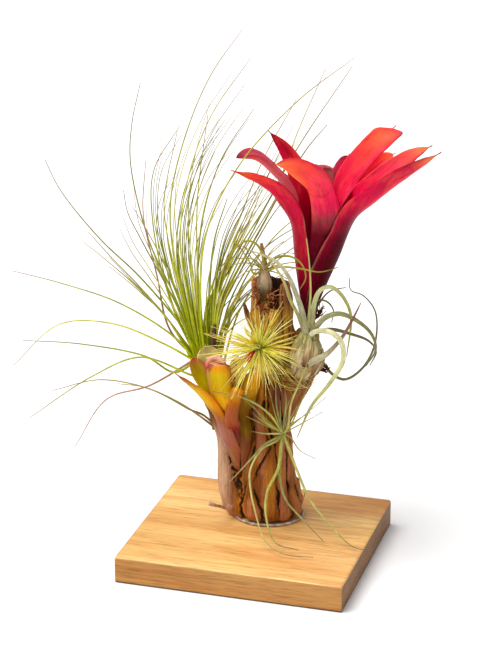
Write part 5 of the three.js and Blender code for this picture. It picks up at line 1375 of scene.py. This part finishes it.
def needle_shape():
    """One needle, in metres, standing along Z and bowed towards X."""
    rows, sides, bow, reach = 8, 4, 3.6, NEEDLES["reach"]
    share = np.linspace(0, 1, rows)
    turn = np.arange(sides) * 2 * math.pi / sides
    radius = np.interp(share, [0, 0.3, 1], [0.46, 0.31, 0.09])[:, None]
    rings = np.stack([bow * share[:, None]**2 + radius * np.cos(turn), radius * np.sin(turn),
                      np.repeat(share[:, None] * reach, sides, 1)], -1)
    skin = Skin()
    tints = np.repeat(read_stops(NEEDLE_TINTS, share)[:, None], sides, 1)
    skin.add_rings(rings, tints, np.zeros((rows, sides + 1)), share * reach)
    mesh = skin.mesh("needle")
    mesh.vertices.foreach_set("co", (rings * MM).ravel())
    return linked("needle", mesh)


def needle_seats(count):
    """Where each needle starts, the way it heads, the way it droops, its length and its tone."""
    rng = np.random.default_rng(NEEDLES["seed"])
    index = np.arange(count)
    turn = index * GOLDEN_ANGLE
    low, high = NEEDLES["tilt"]
    tilt = low + (high * 1.04 - low) * np.sqrt((index + 0.5) / count) + rng.normal(0, 0.2, count)
    heading = np.stack([np.cos(turn) * np.sin(tilt), -np.cos(tilt), np.sin(turn) * np.sin(tilt)], -1)
    start = np.array(NEEDLES["centre"], float) + heading * 2.0
    droop = np.stack([rng.normal(middle, stray, count)
                      for middle, stray in ((0, 0.5), (0, 0.5), (-0.5, 0.6))], -1)
    left = np.clip(-heading[:, 0], 0, 1)  # the needles on the left are longer and more of them are tan
    size = (0.58 + 0.98 * rng.beta(1.2, 2.2, count)) * (1 + 0.2 * left)
    return start, heading, droop, size, rng.uniform(0, 1, count) + 0.08 * left


def instancing_tree():
    """Geometry nodes that stand the shape at every point, headed and sized by the point's own values."""
    tree = bpy.data.node_groups.new("Needles", "GeometryNodeTree")
    for name, kind, way in (("Points", "Geometry", "INPUT"), ("Shape", "Object", "INPUT"),
                            ("Length scale", "Float", "INPUT"), ("Material", "Material", "INPUT"),
                            ("Geometry", "Geometry", "OUTPUT")):
        tree.interface.new_socket(name=name, in_out=way, socket_type="NodeSocket" + kind)
    entry, leave, axes, scale, shape, stand, realise, dress = (tree.nodes.new(kind) for kind in (
        "NodeGroupInput", "NodeGroupOutput", "FunctionNodeAxesToRotation", "ShaderNodeMath",
        "GeometryNodeObjectInfo", "GeometryNodeInstanceOnPoints", "GeometryNodeRealizeInstances",
        "GeometryNodeSetMaterial"))
    axes.primary_axis, axes.secondary_axis, scale.operation = "Z", "X", "MULTIPLY"

    def read(name, kind):
        node = tree.nodes.new("GeometryNodeInputNamedAttribute")
        node.data_type = kind
        node.inputs["Name"].default_value = name
        return next(o for o in node.outputs if o.enabled and o.name == "Attribute")

    for source, target in (
            (read("heading", "FLOAT_VECTOR"), axes.inputs[0]),
            (read("droop", "FLOAT_VECTOR"), axes.inputs[1]),
            (read("size", "FLOAT"), scale.inputs[0]),
            (entry.outputs["Length scale"], scale.inputs[1]),
            (entry.outputs["Shape"], shape.inputs["Object"]),
            (entry.outputs["Points"], stand.inputs["Points"]),
            (shape.outputs["Geometry"], stand.inputs["Instance"]),
            (axes.outputs[0], stand.inputs["Rotation"]),
            (scale.outputs[0], stand.inputs["Scale"]),
            (stand.outputs[0], realise.inputs[0]),
            (realise.outputs[0], dress.inputs["Geometry"]),
            (entry.outputs["Material"], dress.inputs["Material"]),
            (dress.outputs[0], leave.inputs["Geometry"])):
        tree.links.new(source, target)
    return tree


def free_needles(start, heading, size):
    """The numbers of the needles that meet no solid between their root and their tip."""
    tree = node_tree(("small_bromeliad", "trunk", "rush", "silver", "lower"))
    roots, ends = place(start), place(start + heading * NEEDLES["reach"] * size[:, None])
    return [i for i, way in enumerate(ends - roots)
            if tree.ray_cast(Vector(roots[i]), Vector(way).normalized(), way.dot(unit(way)))[0] is None]


def needle_piece(material):
    """The head of needles, made by geometry nodes from one needle, and the heart they grow from."""
    start, heading, droop, size, tone = needle_seats(NEEDLES["count"])
    kept = free_needles(start, heading, size)
    points = bpy.data.meshes.new("needle_points")
    points.from_pydata(place(start[kept]), [], [])
    for name, values in (("heading", place(heading[kept]) / MM), ("droop", place(unit(droop[kept])) / MM),
                         ("size", size[kept]), ("tone", tone[kept])):
        kind, field = ("FLOAT_VECTOR", "vector") if values.ndim == 2 else ("FLOAT", "value")
        points.attributes.new(name, kind, "POINT").data.foreach_set(field, values.astype(np.float32).ravel())
    carrier, shape = linked("needle_carrier", points), needle_shape()
    modifier = carrier.modifiers.new("Needles", "NODES")
    modifier.node_group = instancing_tree()
    sockets = {item.name: item.identifier for item in modifier.node_group.interface.items_tree}
    for name, value in (("Shape", shape), ("Length scale", 1.0), ("Material", material)):
        modifier[sockets[name]] = value
    bpy.context.view_layer.update()
    mesh = finished(carrier, shape)
    mesh.vertices.foreach_set("co", np.clip(read_vertices(mesh, "co"), *bounds_before).ravel())
    mesh.shade_smooth()
    shown(mesh, "needles", material, "needle_air_plant", "needle")
    heart = Skin()
    heart.tube(NEEDLE_CORE["path"], NEEDLE_CORE["radii"], NEEDLE_CORE_TINTS, 12, 1.0)
    heart.shown("needle_heart", material, "needle_air_plant", "needle")


# ---- small roots and fibres ---------------------------------------------------------------------
ROOT_TINTS = [(0, "5A2A1C"), (0.5, "6E2E20"), (1, "4A2018")]
FIBRE_TINTS = [
    [(0, "5A2A1C"), (0.5, "8A4630"), (1, "A05C40")],
    [(0, "3A1A10"), (0.5, "602C1C"), (1, "743C2A")],
    [(0, "A06C4C"), (0.5, "C89470"), (1, "E0B090")],
]
STRAND_TINTS = [
    [(0, "8A6038"), (0.5, "B89058"), (1, "C8A468")],
    [(0, "C8B058"), (0.5, "E0D080"), (1, "E8DCA0")],
    [(0, "6A4028"), (0.5, "8A6844"), (1, "A88050")],
]
HOLLOW = dict(centre=[5, 11.5, 171], half_size=[5.6, 2.5, 7.5], count=120, turns=6, step=1.7, seed=21)
DRY_STRANDS = dict(start=[10, 2, 134], start_size=[8, 2.5, 10], end=[32, 1, 122], end_size=[9, 3, 9], sag=5,
                   count=34, seed=33)
FOOT_HAIR = [[27, 13, 48], [31, 12, 43], [31.6, 12, 35], [29.6, 12, 33]]
GLUE_LIP = dict(section=24, z=19.15, radius=0.95, uneven=0.25, points=61)


def root_tuft(tuft, material):
    """A tuft of dark dry roots."""
    skin = Skin()
    rng = np.random.default_rng(tuft["seed"])
    start, end = np.array(tuft["start"], float), np.array(tuft["end"], float)
    for _ in range(tuft["strands"]):
        points = [mix(start, end, at) + rng.uniform(-0.5, 0.5, 3) * tuft["reach"] * stray
                  for at, stray in ((0, 0.15), (0.35, 0.6), (0.7, 0.8), (1, 1))]
        skin.tube(points, [0.45, 0.35, 0.22], ROOT_TINTS, 5, 1.2)
    skin.shown(tuft["name"] + "_strands", material, tuft["name"], "root")


def hollow_fibres(material):
    """Curly red-brown fibres spilling from the broken top of the trunk."""
    skin = Skin()
    rng = np.random.default_rng(HOLLOW["seed"])
    for _ in range(HOLLOW["count"]):
        at = np.array(HOLLOW["centre"]) + rng.uniform(-1, 1, 3) * HOLLOW["half_size"]
        heading, route = unit(rng.normal(0, 1, 3) * [1, 0.5, 1]), []
        for _ in range(HOLLOW["turns"]):
            route.append(at)
            heading = unit(heading + rng.normal(0, 0.7, 3))
            at = at + heading * HOLLOW["step"]
        skin.tube(route, [0.34, 0.3, 0.2], FIBRE_TINTS[rng.integers(len(FIBRE_TINTS))], 4, 0.9)
    skin.shown("bark_fibres", material, "trunk", "bark")


def dry_strands(material):
    """Dried leaves and roots, thin as thread, tangled between the needle plant and the silver one."""
    skin, rule = Skin(), DRY_STRANDS
    rng = np.random.default_rng(rule["seed"])
    for _ in range(rule["count"]):
        start, end = (np.array(rule[key]) + rng.uniform(-1, 1, 3) * rule[key + "_size"]
                      for key in ("start", "end"))
        points = [start, mix(start, end, 0.35) + rng.normal(0, 2.2, 3),
                  mix(start, end, 0.7) + rng.normal(0, 2.4, 3), end]
        points = [point - np.array([0, 0, rule["sag"] * math.sin(math.pi * i / 3)])
                  for i, point in enumerate(points)]
        skin.tube(points, [0.3, 0.28, 0.24, 0.14], STRAND_TINTS[rng.integers(len(STRAND_TINTS))], 5, 1.6)
    skin.tube(FOOT_HAIR, [0.35, 0.4, 0.35, 0.3], STRAND_TINTS[0], 6, 1)
    skin.shown("dry_strands", material, "silver_air_plant", "root")


def glue_rim(material):
    """The thin, uneven lip of dried glue round the foot of the trunk."""
    skin = Skin()
    x, y, rx, ry = trunk_section(GLUE_LIP["section"])
    turns = np.linspace(0, 2 * math.pi, GLUE_LIP["points"])
    circle = np.stack([np.cos(turns), np.sin(turns), np.ones(len(turns))], -1)
    out = 1 + 0.022 * lumps(circle * [3, 3, 1], (1, 1, 1))
    path = np.stack([x + rx * out * circle[:, 0], y + ry * out * circle[:, 1],
                     np.full(len(turns), GLUE_LIP["z"])], -1)
    radii = GLUE_LIP["radius"] + GLUE_LIP["uneven"] * lumps(circle * [5, 5, 7], (1, 1, 1))
    skin.tube(path, radii, [(0, "D8D0C8"), (1, "D8D0C8")], 8, 1.0)
    skin.shown("glue_lip", material, "glue_bead", "glue")


def worn_board(material):
    """The board with its edges and corners slightly rounded by sanding."""
    shape = bmesh.new()
    shape.from_mesh(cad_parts["wood_base"].data)
    bmesh.ops.remove_doubles(shape, verts=shape.verts, dist=1e-6)
    bmesh.ops.dissolve_limit(shape, angle_limit=0.02, verts=shape.verts, edges=shape.edges)
    bmesh.ops.bevel(shape, geom=shape.edges[:], offset=1.0 * MM, segments=3, profile=0.5, affect="EDGES")
    mesh = bpy.data.meshes.new("pine_board")
    shape.to_mesh(mesh)
    shape.free()
    shown(mesh, "pine_board", material, "wood_base", "board")


# ---- the whole display --------------------------------------------------------------------------
def build_display():
    """Every piece of the display, with the material it is made of."""
    red_leaf = leaf_material("waxy_red_leaf", 0.32, 0.4965, 1.03, 1.03, 0.7, "FA6A4A", 0.42)
    yellow_leaf = leaf_material("waxy_yellow_leaf", 0.42, 0.5, 1.12, 0.92, 0.6, "B09A30", 0.3)
    rosette_pieces("red_bromeliad", RED_ROSETTE, RED_LEAVES, RED_LOOKS, red_leaf)
    rosette_pieces("small_bromeliad", SMALL_ROSETTE, SMALL_LEAVES, SMALL_LOOKS, yellow_leaf)
    rolled_lip(yellow_leaf)
    trunk_piece(bark_material())
    rush_piece(plant_material("rush_leaf", 0.5, (0.4167, 8.333), (0.6, 1.3), saturation=1.05, value=1.02))
    needle_piece(plant_material("needle_leaf", 0.5, (0.5, 5), (0.75, 1.2), saturation=1.02, value=1.18,
                                tones=("FFF8D0", "E8B058")))
    scales = plant_material("dry_scales", 0.8, (0.9091, 11.11), (0.36, 1.5), bump=0.6, value=1.0)
    silver = plant_material("felted_silver_leaf", 0.78, (0.6667, 4), (0.72, 1.22), fuzz=0.6, saturation=1.0,
                            value=0.96)
    green = plant_material("felted_green_leaf", 0.62, (0.6667, 4), (0.6, 1.25), fuzz=0.3, saturation=1.06,
                           value=0.84)
    wiry_green = plant_material("wiry_green_leaf", 0.62, (0.5, 1.667), (0.7, 1.25), fuzz=0.2)
    curly_piece(SILVER_PLANT, silver, scales)
    bulb_scales(scales)
    curly_piece(LOWER_PLANT, green, green)
    curly_piece(CROWN_PLANT, wiry_green, scales)
    flower = Skin()
    flower.tube(NEEDLE_FLOWER["path"], NEEDLE_FLOWER["radii"], PETAL_TINTS, 8, 0.6)
    flower.shown("needle_flower", plant_material("red_petal", 0.4), "needle_air_plant_flower", "flower")
    wiry = plant_material("wiry_root", 0.7)
    for tuft in ROOT_TUFTS:
        root_tuft(tuft, wiry)
    hollow_fibres(wiry)
    dry_strands(wiry)
    glue_rim(glue_material())
    worn_board(board_material())


# ---- stage --------------------------------------------------------------------------------------
TABLE_HALF = 20  # metres
SUNS = (  # name, heading, strength, and how wide it is in degrees
    ("key", (0.5, 0.2, -1.2), 3.2, 42),
    ("front", (-0.1, 1.0, -0.6), 0.35, 60),
)
CAMERA = dict(azimuth=16.4, elevation=20.53, distance=1522.8, right=-6.45, up=147.75, lens=126.9)


def build_stage():
    """A white table under soft light from the upper left."""
    s = Shader("pale_table")
    s.put(s.surface, Base_Color=linear("FAFAFA"), Roughness=0.6, Specular_IOR_Level=0.2)
    floor = bpy.data.meshes.new("table")
    corners = [(x * TABLE_HALF, y * TABLE_HALF, 0) for x, y in ((-1, -1), (1, -1), (1, 1), (-1, 1))]
    floor.from_pydata(corners, [], [(0, 1, 2, 3)])
    floor.materials.append(s.material)
    linked("table", floor)
    world = bpy.data.worlds.new("studio")
    world.use_nodes = True
    sky = world.node_tree.nodes["Background"]
    sky.inputs["Color"].default_value = linear("FFFFFF")
    sky.inputs["Strength"].default_value = 0.44
    bpy.context.scene.world = world
    for name, heading, strength, width in SUNS:
        lamp = bpy.data.lights.new(name, "SUN")
        lamp.energy, lamp.angle = strength, math.radians(width)
        holder = linked(name, lamp)
        holder.rotation_euler = Vector(heading).to_track_quat("-Z", "Y").to_euler()


def build_camera():
    """The camera, turned as the plants are and looking a little down on them."""
    az, el = math.radians(CAMERA["azimuth"]), math.radians(CAMERA["elevation"])
    back = Vector((math.sin(az) * math.cos(el), -math.cos(az) * math.cos(el), math.sin(el)))
    right = Vector((math.cos(az), math.sin(az), 0))
    up = back.cross(right)
    data = bpy.data.cameras.new("camera")
    data.lens, data.sensor_width, data.clip_end = CAMERA["lens"], 36, 50
    camera = linked("camera", data)
    camera.location = (back * CAMERA["distance"] + right * CAMERA["right"] + up * CAMERA["up"]) * MM
    camera.rotation_euler = back.to_track_quat("Z", "Y").to_euler()
    bpy.context.scene.camera = camera
    bpy.context.scene.view_settings.view_transform = "Standard"


build_display()
build_stage()
build_camera()
